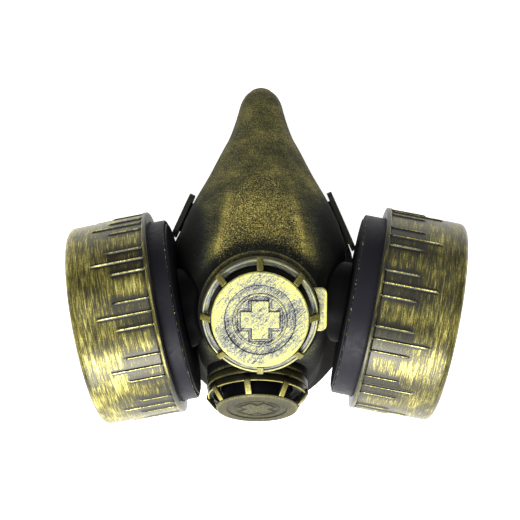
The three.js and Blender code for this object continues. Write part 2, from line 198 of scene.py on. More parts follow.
def densified(profile: np.ndarray, longest: float) -> np.ndarray:
    """The profile with points added so that no span is longer than the given length."""
    rows = [profile[:1]]
    for start, end in zip(profile[:-1], profile[1:]):
        pieces = max(1, math.ceil(float(np.linalg.norm(end - start)) / longest))
        share = (np.arange(1, pieces + 1) / pieces)[:, None]
        rows.append(start + (end - start) * share)
    return np.vstack(rows)


# Surfaces


@dataclass
class Surface:
    """A mesh in the making.

    Attributes:
        points: N rows of x, y and z in millimetres.
        quads: Rows of four point numbers.
        triangles: Rows of three point numbers.
        values: Named values per point: one number, or three for a vector.
    """

    points: np.ndarray
    quads: np.ndarray
    triangles: np.ndarray
    values: dict[str, np.ndarray] = field(default_factory=dict)

    def outward(self) -> "Surface":
        """Turns the faces outwards, read from the sign of the volume that they enclose."""
        halves = np.vstack([self.quads[:, [0, 1, 2]], self.quads[:, [0, 2, 3]], self.triangles]).astype(int)
        a, b, c = (self.points[halves[:, k]] for k in range(3))
        if float(np.einsum("ij,ij->i", a, np.cross(b, c)).sum()) < 0:
            self.quads = self.quads[:, ::-1]
            self.triangles = self.triangles[:, ::-1]
        return self

    def placed(self, origin: np.ndarray, axes: np.ndarray) -> "Surface":
        """Carries local coordinates into place: origin + x * axes[0] + y * axes[1] + z * axes[2]."""
        self.points = np.asarray(origin, float) + self.points @ np.asarray(axes, float)
        return self


def joined(surfaces: list[Surface]) -> Surface:
    """Several surfaces as one, with the values that all of them hold."""
    names = set.intersection(*[set(s.values) for s in surfaces])
    starts = np.cumsum([0] + [len(s.points) for s in surfaces[:-1]])
    return Surface(
        np.vstack([s.points for s in surfaces]),
        np.vstack([s.quads + start for s, start in zip(surfaces, starts)]).astype(int),
        np.vstack([s.triangles + start for s, start in zip(surfaces, starts)]).astype(int),
        {name: np.concatenate([s.values[name] for s in surfaces]) for name in names},
    )


def grid_quads(rows: int, columns: int, wrap_rows: bool, wrap_columns: bool) -> np.ndarray:
    """The quads of a grid of points that are numbered row by row.

    Args:
        rows: Rows of points.
        columns: Points in a row.
        wrap_rows: Whether the last row joins the first.
        wrap_columns: Whether each row closes on itself.

    Returns:
        Rows of four point numbers.
    """
    i = np.arange(rows if wrap_rows else rows - 1)[:, None]
    j = np.arange(columns if wrap_columns else columns - 1)[None, :]
    a = i * columns + j
    b = i * columns + (j + 1) % columns
    c = ((i + 1) % rows) * columns + (j + 1) % columns
    d = ((i + 1) % rows) * columns + j
    return np.stack([a, b, c, d], axis=-1).reshape(-1, 4)


def fan(centre: int, ring: np.ndarray) -> np.ndarray:
    """The triangles from one point to a closed ring of points."""
    return np.stack([np.full(len(ring), centre), ring, np.roll(ring, -1)], axis=-1)


def revolved(
    profile: np.ndarray,
    angles: np.ndarray,
    values: dict[str, np.ndarray],
    closed: bool = False,
) -> Surface:
    """Turns a profile about its axis: (height, radius) goes to (radius cos a, radius sin a, height).

    Args:
        profile: P rows of height and radius, which may also be a P x A x 2 grid where the radius changes
            with the angle. An open profile starts and ends on the axis.
        angles: The A angles in radians.
        values: Values on the P x A grid.
        closed: Whether the profile closes on itself instead of ending on the axis.

    Returns:
        The closed surface, with a single point at each pole.
    """
    grid = profile if profile.ndim == 3 else np.repeat(profile[:, None, :], len(angles), axis=1)
    rows, columns = grid.shape[:2]
    height, radius = grid[..., 0], grid[..., 1]
    points = np.stack([radius * np.cos(angles), radius * np.sin(angles), height], axis=-1)
    if closed:
        flat = {k: v.reshape(rows * columns, *v.shape[2:]) for k, v in values.items()}
        quads = grid_quads(rows, columns, True, True)
        return Surface(points.reshape(-1, 3), quads, np.zeros((0, 3), int), flat).outward()
    inner = points[1:-1].reshape(-1, 3)
    poles = np.array([points[0, 0], points[-1, 0]])
    count = len(inner)
    first = np.arange(columns)
    last = first + (rows - 3) * columns
    triangles = np.vstack([fan(count, first[::-1]), fan(count + 1, last)])
    flat = {
        k: np.concatenate([v[1:-1].reshape(-1, *v.shape[2:]), v[0, :1], v[-1, :1]]) for k, v in values.items()
    }
    quads = grid_quads(rows - 2, columns, False, True)
    return Surface(np.vstack([inner, poles]), quads, triangles, flat).outward()


def slab(outline: np.ndarray, thickness: float, rounding: float, steps: int = 4) -> Surface:
    """A plate with rounded edges, cut from an outline in its own x and y.

    Each layer across the thickness is the outline drawn in towards its middle, by the rise of a quarter
    circle near both faces, and a fan closes each face.

    Args:
        outline: N rows of x and y.
        thickness: The plate's thickness, centred on 0 in z.
        rounding: The radius of its edges.
        steps: Layers in each rounded edge.

    Returns:
        The plate, with edge rising to 1 towards its edges.
    """
    quarter = np.linspace(0.0, math.pi / 2, steps + 1)
    rise, draw = rounding * (1 - np.sin(quarter)), rounding * (1 - np.cos(quarter))
    low = np.stack([rise - thickness / 2, draw], axis=-1)
    layers = np.vstack([low[::-1], low * [-1, 1]])
    centre = (outline.max(0) + outline.min(0)) / 2
    ahead = np.roll(outline, -1, 0)
    area = float((outline[:, 0] * ahead[:, 1] - outline[:, 1] * ahead[:, 0]).sum())
    normal = unit(ahead - np.roll(outline, 1, 0))[:, ::-1] * [1, -1]
    inwards = -math.copysign(1.0, area) * normal
    drawn = outline[None] + inwards[None] * layers[:, 1][:, None, None]
    height = np.repeat(layers[:, :1], len(outline), axis=1)[..., None]
    points = np.concatenate([drawn, height], axis=-1)
    rows, columns = points.shape[:2]
    middles = np.array([[*centre, layers[0, 0]], [*centre, layers[-1, 0]]])
    count = rows * columns
    first = np.arange(columns)
    triangles = np.vstack([fan(count, first[::-1]), fan(count + 1, first + (rows - 1) * columns)])
    worn = bell(np.abs(layers[:, 0]) - thickness / 2 + rounding * 0.6, rounding)
    worn = np.repeat(worn[:, None], columns, axis=1)
    values = {"edge": np.concatenate([worn.reshape(-1), [0.0, 0.0]])}
    every = np.vstack([points.reshape(-1, 3), middles])
    return Surface(every, grid_quads(rows, columns, False, True), triangles, values).outward()


def build(
    surface: Surface,
    name: str,
    material: Material,
    slot: Slot,
    *nodes: str,
) -> bpy.types.Object:
    """Makes the finished object of a surface, hangs it under the root's body and hides the solids that it
    replaces.

    Args:
        surface: The surface in millimetres.
        name: The object's name.
        material: Its finish.
        slot: The record's slot that the finish belongs to. Not used.
        *nodes: The solids that it replaces.

    Returns:
        The object, which sits at the origin.
    """
    mesh = bpy.data.meshes.new(name)
    points = np.ascontiguousarray(surface.points * MM, dtype=np.float32)
    loops = np.concatenate([surface.quads.reshape(-1), surface.triangles.reshape(-1)]).astype(np.int32)
    totals = np.repeat([4, 3], [len(surface.quads), len(surface.triangles)]).astype(np.int32)
    starts = np.concatenate([[0], np.cumsum(totals)[:-1]]).astype(np.int32)
    mesh.vertices.add(len(points))
    mesh.vertices.foreach_set("co", points.reshape(-1))
    mesh.loops.add(len(loops))
    mesh.loops.foreach_set("vertex_index", loops)
    mesh.polygons.add(len(totals))
    mesh.polygons.foreach_set("loop_start", starts)
    mesh.polygons.foreach_set("loop_total", totals)
    mesh.polygons.foreach_set("use_smooth", np.ones(len(totals), dtype=bool))
    mesh.update(calc_edges=True)
    mesh.validate()
    for key, value in surface.values.items():
        kind, column = ("FLOAT_VECTOR", "vector") if value.ndim == 2 else ("FLOAT", "value")
        attribute = mesh.attributes.new(key, kind, "POINT")
        attribute.data.foreach_set(column, np.ascontiguousarray(value, dtype=np.float32).reshape(-1))
    mesh.materials.append(material)
    piece = bpy.data.objects.new(name, mesh)
    bpy.context.scene.collection.objects.link(piece)
    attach(piece, ROOT)
    if nodes:
        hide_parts(*nodes)
    log.info("built %s: %d points, %d faces", name, len(points), len(totals))
    return piece


# Finishes


class Nodes:
    """A material's node tree, with short calls for the nodes that the finishes use."""

    def __init__(self, name: str) -> None:
        """Starts an empty material of the given name."""
        self.material = bpy.data.materials.new(name)
        self.material.use_nodes = True
        self.tree = self.material.node_tree
        self.tree.nodes.clear()
        output = self.tree.nodes.new("ShaderNodeOutputMaterial")
        self.shader = self.tree.nodes.new("ShaderNodeBsdfPrincipled")
        self.tree.links.new(self.shader.outputs["BSDF"], output.inputs["Surface"])

    def link(self, source: NodeSocket, target: NodeSocket) -> None:
        """Joins two sockets."""
        self.tree.links.new(source, target)

    def feed(self, target: NodeSocket, value: object) -> None:
        """Sets a socket to a constant, or links it to another socket."""
        if isinstance(value, NodeSocket):
            self.link(value, target)
        else:
            target.default_value = value

    def attribute(self, name: str, vector: bool = False) -> NodeSocket:
        """A value that the piece holds per point."""
        node = self.tree.nodes.new("ShaderNodeAttribute")
        node.attribute_name = name
        return node.outputs["Vector" if vector else "Fac"]

    def place(self) -> NodeSocket:
        """The point's place in millimetres."""
        node = self.tree.nodes.new("ShaderNodeTexCoord")
        return self.scaled(node.outputs["Object"], (1000, 1000, 1000))

    def scaled(self, vector: NodeSocket, scale: tuple[float, float, float]) -> NodeSocket:
        """A vector with each axis scaled."""
        node = self.tree.nodes.new("ShaderNodeMapping")
        node.inputs["Scale"].default_value = scale
        self.link(vector, node.inputs["Vector"])
        return node.outputs["Vector"]

    def noise(self, vector: NodeSocket, scale: float, detail: float = 3.0, rough: float = 0.55) -> NodeSocket:
        """Noise between 0 and 1, centred on a half.

        Args:
            vector: The place that it is read at.
            scale: Features per unit of the vector.
            detail: Octaves of finer noise.
            rough: How strong each octave is beside the one before.

        Returns:
            The noise.
        """
        node = self.tree.nodes.new("ShaderNodeTexNoise")
        node.inputs["Scale"].default_value = scale
        node.inputs["Detail"].default_value = detail
        node.inputs["Roughness"].default_value = rough
        self.link(vector, node.inputs["Vector"])
        return node.outputs["Fac"]

    def math(self, operation: str, *terms: object) -> NodeSocket:
        """A Math node.

        Args:
            operation: The node's operation.
            *terms: Its one to three inputs, each a socket or a number.

        Returns:
            The result.
        """
        node = self.tree.nodes.new("ShaderNodeMath")
        node.operation = operation
        for socket, value in zip(node.inputs, terms):
            self.feed(socket, value)
        return node.outputs[0]

    def spread(self, value: NodeSocket, gain: float) -> NodeSocket:
        """A noise drawn out about its middle: (value - 0.5) * gain."""
        return self.math("MULTIPLY", self.math("SUBTRACT", value, 0.5), gain)

    def total(self, *values: object) -> NodeSocket:
        """The sum of several sockets or numbers."""
        result = values[0]
        for value in values[1:]:
            result = self.math("ADD", result, value)
        return result

    def ramp(self, value: NodeSocket, stops: tuple[Stop, ...]) -> NodeSocket:
        """A colour ramp.

        Args:
            value: Where on the ramp to read.
            stops: The position and colour of each stop.

        Returns:
            The colour.
        """
        node = self.tree.nodes.new("ShaderNodeValToRGB")
        elements = node.color_ramp.elements
        while len(elements) < len(stops):
            elements.new(0.5)
        for element, (position, colour) in zip(elements, stops):
            element.position = position
            element.color = (*colour, 1.0)
        self.link(value, node.inputs["Fac"])
        return node.outputs["Color"]

    def between(
        self, value: NodeSocket, low: float, high: float, out_low: float, out_high: float
    ) -> NodeSocket:
        """Maps low..high to out_low..out_high smoothly, and holds it outside.

        Args:
            value: The number to map.
            low: Where the rise starts.
            high: Where it ends.
            out_low: The result at low and under it.
            out_high: The result at high and over it.

        Returns:
            The mapped number.
        """
        node = self.tree.nodes.new("ShaderNodeMapRange")
        node.interpolation_type = "SMOOTHSTEP"
        for key, number in (("From Min", low), ("From Max", high), ("To Min", out_low), ("To Max", out_high)):
            node.inputs[key].default_value = number
        self.link(value, node.inputs["Value"])
        return node.outputs["Result"]

    def bump(self, height: NodeSocket, depth: float, strength: float) -> None:
        """Raises the surface by a height between 0 and 1 times depth in metres."""
        node = self.tree.nodes.new("ShaderNodeBump")
        node.inputs["Strength"].default_value = strength
        node.inputs["Distance"].default_value = depth
        self.link(height, node.inputs["Height"])
        self.link(node.outputs["Normal"], self.shader.inputs["Normal"])


@dataclass(frozen=True)
class DryBrushed:
    """Black plastic with metallic paint dragged over it, which catches on edges and leaves hollows bare.

    How much paint shows at a point is the sum of the piece's own gold and edge values, long streaks along
    its stroke, fine hairs, soft blotches and a fine speckle, less the piece's painted shade, which darkens
    creases, corners and hollows. A colour ramp turns it into bare plastic, thin olive paint and bright metal.

    Attributes:
        name: The material's name.
        stops: The ramp from bare plastic to full paint.
        streak: Strength of the long streaks.
        hair: Strength of the fine hairs.
        blotch: Strength of the soft blotches.
        speckle: Strength of the fine speckle.
        grain: Points of speckle per millimetre.
        gloss: The shader's specular level.
        cover: Paint added all over.
        metal: How metallic full paint is.
        rough: Roughness of bare plastic and of full paint.
        rim: Tint of the gloss at a grazing angle.
        relief: Depth of the strokes in metres.
    """

    name: str
    stops: tuple[Stop, ...]
    streak: float = 0.5
    hair: float = 0.35
    blotch: float = 0.4
    speckle: float = 0.2
    grain: float = 1.4
    gloss: float = 0.3
    cover: float = 0.5
    metal: float = 0.55
    rough: tuple[float, float] = (0.34, 0.42)
    rim: Colour = (1.0, 1.0, 1.0)
    relief: float = 0.00012

    def material(self) -> Material:
        """The finished material."""
        n = Nodes(self.name)
        stroke = n.attribute("stroke", vector=True)
        place = n.place()
        streaks = n.noise(n.scaled(stroke, (0.035, 0.035, 0.7)), 1.0, 4.0, 0.75)
        hairs = n.noise(n.scaled(stroke, (0.16, 0.16, 3.2)), 1.0, 2.0)
        blotches = n.noise(place, 0.075, 3.0)
        dots = n.noise(place, self.grain, 2.0, 0.7)
        stipple = n.attribute("stipple")
        grit = n.noise(place, 1.6, 3.0, 0.8)
        dotted = n.total(
            n.math("MULTIPLY", n.spread(dots, 1.0), self.speckle),
            n.math("MULTIPLY", n.spread(grit, 2.2), stipple),
        )
        n.shader.inputs["Specular IOR Level"].default_value = self.gloss
        n.shader.inputs["Specular Tint"].default_value = (*self.rim, 1.0)
        paint = n.total(
            n.attribute("gold"),
            self.cover,
            n.spread(streaks, self.streak),
            n.spread(hairs, self.hair),
            n.spread(blotches, self.blotch),
            dotted,
            n.math("MULTIPLY", n.attribute("edge"), 0.42),
            # Painted shade, held per point, takes paint away here.
            n.math("MULTIPLY", n.attribute("soot"), -0.8),
        )
        n.link(n.ramp(paint, self.stops), n.shader.inputs["Base Color"])
        n.link(n.between(paint, 0.2, 0.75, 0.0, self.metal), n.shader.inputs["Metallic"])
        n.link(n.between(paint, 0.15, 0.8, *self.rough), n.shader.inputs["Roughness"])
        rough_paint = n.math("MULTIPLY", grit, n.math("MULTIPLY_ADD", stipple, 1.2, 0.25))
        relief = n.total(n.math("MULTIPLY", hairs, 0.6), rough_paint)
        n.bump(relief, self.relief, 0.6)
        return n.material


@dataclass(frozen=True)
class SatinBlack:
    """Unpainted black plastic, with a few specks of gold along its worn edges.

    Attributes:
        name: The material's name.
        colour: The plastic.
        speck: The gold of the specks.
        gloss: The shader's specular level.
    """

    name: str = "satin_black"
    colour: Colour = (0.009, 0.0085, 0.012)
    speck: Colour = (0.5, 0.44, 0.12)
    gloss: float = 0.08

    def material(self) -> Material:
        """The finished material."""
        n = Nodes(self.name)
        place = n.place()
        dots = n.noise(place, 0.9, 4.0, 0.75)
        worn = n.math("MULTIPLY_ADD", n.attribute("edge"), 0.38, n.spread(dots, 1.0))
        dust = n.noise(place, 0.35, 5.0, 0.7)
        shown = n.between(worn, 0.42, 0.5, 0.0, 1.0)
        n.link(n.ramp(shown, ((0.0, self.colour), (1.0, self.speck))), n.shader.inputs["Base Color"])
        n.link(n.between(dust, 0.3, 0.7, 0.42, 0.55), n.shader.inputs["Roughness"])
        n.bump(dust, 0.00005, 0.4)
        n.shader.inputs["Specular IOR Level"].default_value = self.gloss
        return n.material


ANTIQUE = (
    (0.0, (0.006, 0.006, 0.005)),
    (0.3, (0.016, 0.015, 0.007)),
    (0.48, (0.075, 0.066, 0.014)),
    (0.66, (0.26, 0.23, 0.06)),
    (0.84, (0.56, 0.52, 0.17)),
    (1.0, (0.86, 0.83, 0.42)),
)
OLIVE = (
    (0.0, (0.007, 0.0065, 0.006)),
    (0.28, (0.019, 0.021, 0.017)),
    (0.46, (0.064, 0.062, 0.025)),
    (0.64, (0.23, 0.198, 0.058)),
    (0.84, (0.58, 0.47, 0.11)),
    (1.0, (0.85, 0.74, 0.26)),
)
WORN = (
    (0.0, (0.006, 0.006, 0.005)),
    (0.3, (0.018, 0.017, 0.01)),
    (0.5, (0.05, 0.046, 0.022)),
    (0.7, (0.14, 0.13, 0.06)),
    (1.0, (0.45, 0.42, 0.16)),
)
PALE = (
    (0.0, (0.008, 0.008, 0.01)),
    (0.2, (0.05, 0.052, 0.062)),
    (0.36, (0.17, 0.176, 0.17)),
    (0.5, (0.29, 0.29, 0.18)),
    (0.66, (0.48, 0.465, 0.125)),
    (1.0, (0.68, 0.64, 0.12)),
)


@dataclass(frozen=True)
class Palette:
    """The finishes that the pieces share.

    Attributes:
        can: The cans' brushed gold.
        shell: The facepiece's thin gold with grit.
        housing: The collars', ribs' and lugs' dark gold.
        disc: The front disc's pale gold.
        lower_disc: The lower disc's worn gold.
        band: The silvered ring round the front disc.
        black: The bases' bare plastic.
        plain: Bare plastic in deep shade.
    """

    can: Material
    shell: Material
    housing: Material
    disc: Material
    lower_disc: Material
    band: Material
    black: Material
    plain: Material


def mix_palette() -> Palette:
    """Mixes every finish once."""
    return Palette(
        can=DryBrushed(
            "gold_on_cans", ANTIQUE, streak=0.75, hair=1.1, blotch=0.65, speckle=0.4, cover=0.45,
            gloss=0.35, metal=0.65, rim=(0.92, 0.9, 0.78),
        ).material(),
        shell=DryBrushed(
            "gold_on_facepiece", OLIVE, streak=0.15, hair=0.2, blotch=0.4, speckle=1.0, grain=1.8, cover=0.32,
            gloss=0.06, metal=0.1, rough=(0.85, 0.6),
        ).material(),
        housing=DryBrushed(
            "gold_on_housings", ANTIQUE, streak=0.3, hair=0.4, blotch=0.35, speckle=0.4, cover=0.25,
            gloss=0.15, metal=0.3, rough=(0.42, 0.5),
        ).material(),
        disc=DryBrushed(
            "pale_gold_on_disc", PALE, streak=0.5, hair=1.2, blotch=0.8, speckle=1.2, cover=0.43,
            gloss=0.08, metal=0.2, rough=(0.42, 0.5),
        ).material(),
        lower_disc=DryBrushed(
            "worn_gold_on_disc", WORN, streak=0.2, hair=0.4, blotch=0.3, speckle=0.5, cover=0.44,
            gloss=0.04, metal=0.1, rough=(0.5, 0.55),
        ).material(),
        band=DryBrushed(
            "silvered_band", PALE, streak=0.5, hair=1.0, blotch=0.3, speckle=0.5, cover=0.38,
            gloss=0.15, metal=0.3, rough=(0.4, 0.48),
        ).material(),
        black=SatinBlack().material(),
        plain=SatinBlack("shadowed_black", (0.003, 0.003, 0.003), (0.003, 0.003, 0.003), 0.02).material(),
    )


# Facepiece

FACEPIECE_LENGTH = 172.5


def facepiece_offset() -> np.ndarray:
    """The facepiece's own origin in the frame, in millimetres, from the box of the solid that it replaces."""
    low, high = (np.array(corner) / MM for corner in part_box("facepiece"))
    return np.array([(low[0] + high[0]) / 2, high[1] - FACEPIECE_LENGTH / 2, 0.0])


@dataclass(frozen=True)
class Section:
    """One section of the facepiece.

    Attributes:
        along: Share of the length from the chin.
        rim: Half width at the edge, as lip, wall and shoulder a share of half of the width.
        lip: Half width at the top of the flared lip.
        wall: Half width at the cheek.
        shoulder: Half width at the shoulder.
        lip_up: Height of the lip, a share of the lip's height.
        wall_up: Height of the cheek, as the next two a share of the snout's height.
        shoulder_up: Height of the shoulder.
        crest: Height of the ridge.
    """

    along: float
    rim: float
    lip: float
    wall: float
    shoulder: float
    lip_up: float
    wall_up: float
    shoulder_up: float
    crest: float


@dataclass
class Facepiece:
    """The moulded shell: smooth outlines across the face, one after another from the chin to the nose.

    Attributes:
        length: From chin to nose.
        width: Across the back edge.
        snout: The scale of the heights of cheek, shoulder and crest.
        wall: The shell's thickness.
        lip: Height of the flared lip.
        notch_width: Width of the notch under the nose.
        notch_height: Its height.
        stations: How many outlines there are.
        around: Points on one outline.
        span_steps: Points between two knots of an outline, before it is spaced anew.
        notch_from: Share of the length where the notch starts.
        end_bend: The power that rounds the chin and the tip.
        panel_top: The stippled panel's upper end, from the middle of the length.
        panel_foot: Where it starts to narrow.
        panel_half: Its half width there.
        sections: The sections from chin to nose.
    """

    length: float = FACEPIECE_LENGTH
    width: float = 102.0
    snout: float = 82.0
    wall: float = 2.4
    lip: float = 10.0
    notch_width: float = 15.0
    notch_height: float = 7.0
    stations: int = 150
    around: int = 161
    span_steps: int = 60
    notch_from: float = 0.93
    end_bend: float = 0.55
    panel_top: float = 37.0
    panel_foot: float = 3.0
    panel_half: float = 20.0
    sections: tuple[Section, ...] = (
        Section(0.0, 0.06, 0.055, 0.045, 0.03, 0.2, 0.05, 0.06, 0.07),
        Section(0.012, 0.28, 0.26, 0.22, 0.15, 0.45, 0.09, 0.115, 0.13),
        Section(0.038, 0.48, 0.42, 0.36, 0.26, 0.7, 0.14, 0.185, 0.215),
        Section(0.075, 0.64, 0.55, 0.48, 0.36, 0.85, 0.22, 0.3, 0.35),
        Section(0.118, 0.77, 0.63, 0.56, 0.45, 0.93, 0.32, 0.45, 0.515),
        Section(0.158, 0.86, 0.66, 0.605, 0.505, 1, 0.42, 0.6, 0.68),
        Section(0.19, 0.905, 0.68, 0.632, 0.53, 1, 0.49, 0.715, 0.8),
        Section(0.235, 0.945, 0.7, 0.663, 0.545, 1, 0.55, 0.82, 0.9),
        Section(0.32, 0.985, 0.745, 0.72, 0.56, 1, 0.6, 0.9, 0.965),
        Section(0.41, 1, 0.8, 0.78, 0.54, 1, 0.61, 0.925, 0.99),
        Section(0.485, 0.975, 0.845, 0.825, 0.51, 1, 0.6, 0.925, 0.995),
        Section(0.56, 0.86, 0.785, 0.765, 0.45, 1, 0.55, 0.85, 0.92),
        Section(0.64, 0.723, 0.675, 0.65, 0.365, 1, 0.48, 0.74, 0.81),
        Section(0.715, 0.57, 0.535, 0.515, 0.29, 1, 0.41, 0.62, 0.685),
        Section(0.79, 0.441, 0.415, 0.395, 0.235, 0.9, 0.33, 0.505, 0.56),
        Section(0.86, 0.327, 0.31, 0.28, 0.195, 0.8, 0.26, 0.395, 0.45),
        Section(0.918, 0.255, 0.247, 0.232, 0.168, 0.7, 0.205, 0.315, 0.365),
        Section(0.962, 0.195, 0.199, 0.185, 0.135, 0.6, 0.165, 0.25, 0.29),
        Section(0.987, 0.12, 0.132, 0.12, 0.085, 0.45, 0.13, 0.19, 0.22),
        Section(1.0, 0.035, 0.038, 0.034, 0.025, 0.3, 0.085, 0.12, 0.14),
    )

    def sizes(self, along: np.ndarray) -> dict[str, np.ndarray]:
        """The sections' sizes in millimetres at shares of the length, each an array."""
        names = ("rim", "lip", "wall", "shoulder", "lip_up", "wall_up", "shoulder_up", "crest")
        knots = np.array([s.along for s in self.sections])
        table = np.array([[getattr(s, name) for name in names] for s in self.sections])
        half = self.width / 2
        scale = np.array([half] * 4 + [self.lip] + [self.snout] * 3)
        rows = cubic(knots, table, self.rounded(np.clip(along, 0, 1))) * scale
        return dict(zip(names, rows.T))

    def rounded(self, along: np.ndarray) -> np.ndarray:
        """Bends the shares of the length near both ends, so that the sizes end in a round.

        Between an end and the section next to it, a share s of the way from the end goes to s^end_bend.

        Args:
            along: Shares of the length.

        Returns:
            The bent shares.
        """
        chin, tip = self.sections[1].along, self.sections[-2].along
        at_tip = np.clip((1 - along) / (1 - tip), 0, 1)
        at_chin = np.clip(along / chin, 0, 1)
        along = np.where(along > tip, 1 - (1 - tip) * at_tip**self.end_bend, along)
        return np.where(along < chin, chin * at_chin**self.end_bend, along)

    def outlines(self, along: np.ndarray, grow: float, floor: float) -> np.ndarray:
        """One outline per station, from the edge on the wearer's left over the crest to the other edge.

        A Catmull-Rom curve runs through nine points: edge, lip, cheek, shoulder and crest, mirrored. Near
        the tip of the nose the outline starts where it clears the arched notch.

        Args:
            along: Shares of the length.
            grow: How far the outline moves outwards, negative inwards.
            floor: Height of the outline's first point.

        Returns:
            A stations x around x 3 array in the facepiece's own frame.
        """
        s = self.sizes(along)
        latest_start = 0.42

        def wide(key: str) -> np.ndarray:
            """A half width, moved but never past a sliver of itself."""
            return np.maximum(s[key] + grow, s[key] * 0.2)

        def high(key: str, least: float) -> np.ndarray:
            """A height, moved but never under the lip."""
            return np.maximum(np.maximum(s[key] + grow, s[key] * 0.2), s["lip_up"] * least)

        half = [
            (wide("rim"), np.full_like(along, floor)),
            (wide("lip"), s["lip_up"]),
            (wide("wall"), high("wall_up", 1.05)),
            (wide("shoulder"), high("shoulder_up", 1.1)),
        ]
        crest = (np.zeros_like(along), high("crest", 1.15))
        right = [(-x, z) for x, z in reversed(half)]
        knots = np.stack([np.stack(pair, axis=-1) for pair in [*half, crest, *right]], axis=1)
        steps = (knots.shape[1] - 1) * self.span_steps
        dense = through_points(knots, steps + 1)
        x, z = dense[..., 0], np.maximum(dense[..., 1], max(floor, 0.0))
        inside = np.clip(1 - (x / (self.notch_width / 2)) ** 2, 0, 1)
        notch = np.where((along > self.notch_from)[:, None], self.notch_height * np.sqrt(inside), 0.0)
        first = np.minimum(np.argmax(z >= notch, axis=1) / steps, latest_start)
        share = np.linspace(0, 1, self.around)
        where = (first[:, None] + (1 - 2 * first[:, None]) * share) * steps
        i = np.minimum(where.astype(int), steps - 1)
        t = where - i
        rows = np.arange(len(along))[:, None]
        xs = x[rows, i] * (1 - t) + x[rows, i + 1] * t
        zs = z[rows, i] * (1 - t) + z[rows, i + 1] * t
        ys = np.repeat(((along - 0.5) * self.length)[:, None], self.around, axis=1)
        return np.stack([xs, ys, zs], axis=-1)

    def shell(self) -> Surface:
        """The closed shell: each station is one loop over the outside and back along the inside."""
        eased = 0.5 - 0.5 * np.cos(math.pi * np.linspace(0, 1, self.stations))
        inset = self.wall / self.length
        outer = self.outlines(eased, 0.0, 0.0)
        inner = self.outlines(inset + (1 - 2 * inset) * eased, -self.wall, -self.wall)
        loops = np.concatenate([outer, inner[:, ::-1]], axis=1)
        rows, columns = loops.shape[:2]
        quads = grid_quads(rows, columns, False, True)
        n = self.around
        out_ring, in_ring = np.arange(n), np.arange(n, 2 * n)
        triangles = []
        for start, flip in ((0, False), ((rows - 1) * columns, True)):
            for ring in (out_ring, in_ring):
                ring = ring + start
                side = np.stack([np.full(n - 2, ring[0]), ring[1:-1], ring[2:]], axis=-1)
                triangles.append(side[:, ::-1] if flip else side)
            a, b, c, d = start, start + n - 1, start + n, start + 2 * n - 1
            foot = np.array([[a, b, c], [a, c, d]])
            triangles.append(foot[:, ::-1] if flip else foot)
        surface = Surface(loops.reshape(-1, 3), quads, np.vstack(triangles)[:, ::-1])
        surface.values = self.paint(loops)
        surface.points = surface.points + facepiece_offset()
        return surface.outward()

    def paint(self, loops: np.ndarray) -> dict[str, np.ndarray]:
        """Where the brush caught the shell.

        Faces that look up hold most paint, and steep cheeks are darker, partly as thinner paint and partly as
        painted shade; the cheeks beside the drums carry a painted shadow. Bright shoulders run beside the
        stippled panel, and painted shade darkens the corner round the valve's seat.

        Args:
            loops: The grid of points in the facepiece's own frame.

        Returns:
            gold, edge, painted shade, stipple and stroke per point.
        """
        du = np.gradient(loops, axis=0)
        dv = np.gradient(loops, axis=1)
        normal = np.cross(dv, du)
        length = np.linalg.norm(normal, axis=-1, keepdims=True)
        normal = normal / np.maximum(length, 1e-9)
        up = np.abs(normal[..., 2])
        x, y, z = loops[..., 0], loops[..., 1], loops[..., 2]
        seat = FRONT_VALVE.distance(loops + facepiece_offset())
        panel = self.panel(x, y) * smoothstep(40, 55, z)
        nose = smoothstep(12, 30, y)
        steep = smoothstep(0.62, 0.2, up)
        # Steep faces lose gold, partly as thinner paint and partly as painted shade on the cheeks.
        cheek = 0.18 * smoothstep(0.35, 0.8, up) * smoothstep(25, 50, z) - 0.04 - 0.38 * steep
        gold = cheek * (1 - nose) + 0.13 * nose
        beside = bell(np.abs(x) - (self.panel_half + 0.5 - 0.2 * np.maximum(y, 0)), 2.0)
        gold = gold + 0.17 * beside * smoothstep(-12, 0, y) * smoothstep(34, 14, y)
        beyond = bell(np.abs(x) - (self.panel_half + 6.0 - 0.2 * np.maximum(y, 0)), 3.0)
        gold = gold - 0.06 * beyond * smoothstep(0, 12, y) * smoothstep(40, 24, y)
        # Painted shadow: the cheeks beside the drums are darkened where the drums shade them.
        gold = gold - 0.3 * smoothstep(24, 31, np.abs(x)) * smoothstep(20, 5, y)
        gold = gold + 0.2 * bell(seat - 1.5, 3.0) * smoothstep(-34, -50, y) * smoothstep(40, 52, z)
        arch = bell(y - self.panel_top + 0.012 * x**2, 1.6) * smoothstep(16, 8, np.abs(x))
        gold = gold + 0.06 * arch + 0.03 * panel
        # Painted shade in the corner round the valve's seat.
        soot = 0.42 * bell(seat - 1.0, 2.4) * smoothstep(40, 60, z)
        gold[:, self.around :] = -0.5
        panel[:, self.around :] = 0.0
        values = {
            "gold": gold,
            "edge": np.zeros_like(x),
            "soot": soot,
            "stipple": panel,
            "stroke": np.stack([x, z, y], axis=-1),
        }
        return {k: v.reshape(-1, *v.shape[2:]) for k, v in values.items()}

    def panel(self, x: np.ndarray, y: np.ndarray) -> np.ndarray:
        """The stippled panel on the snout: an arch that narrows towards the nose, with a soft edge.

        Args:
            x: Across the face.
            y: Towards the nose, from the middle of the length.

        Returns:
            1 on the panel and 0 off it.
        """
        t = np.clip((y - self.panel_foot) / (self.panel_top - self.panel_foot), 0, 1)
        half = self.panel_half * (1 - 0.5 * t) * np.sqrt(np.clip(1 - t**5, 0, 1))
        inside = smoothstep(2.2, -1.2, np.abs(x) - half)
        return inside * smoothstep(self.panel_top + 1, self.panel_top - 3, y) * smoothstep(-14, -8, y)

    def dress(self, palette: Palette) -> None:
        """Builds the facepiece with the seats that are moulded on it."""
        pieces = [self.shell(), FRONT_VALVE.seat(), LOWER_VALVE.seat()]
        build(joined(pieces), "facepiece_shell", palette.shell, Slot.ANTIQUE_GOLD, "facepiece")


# Valves


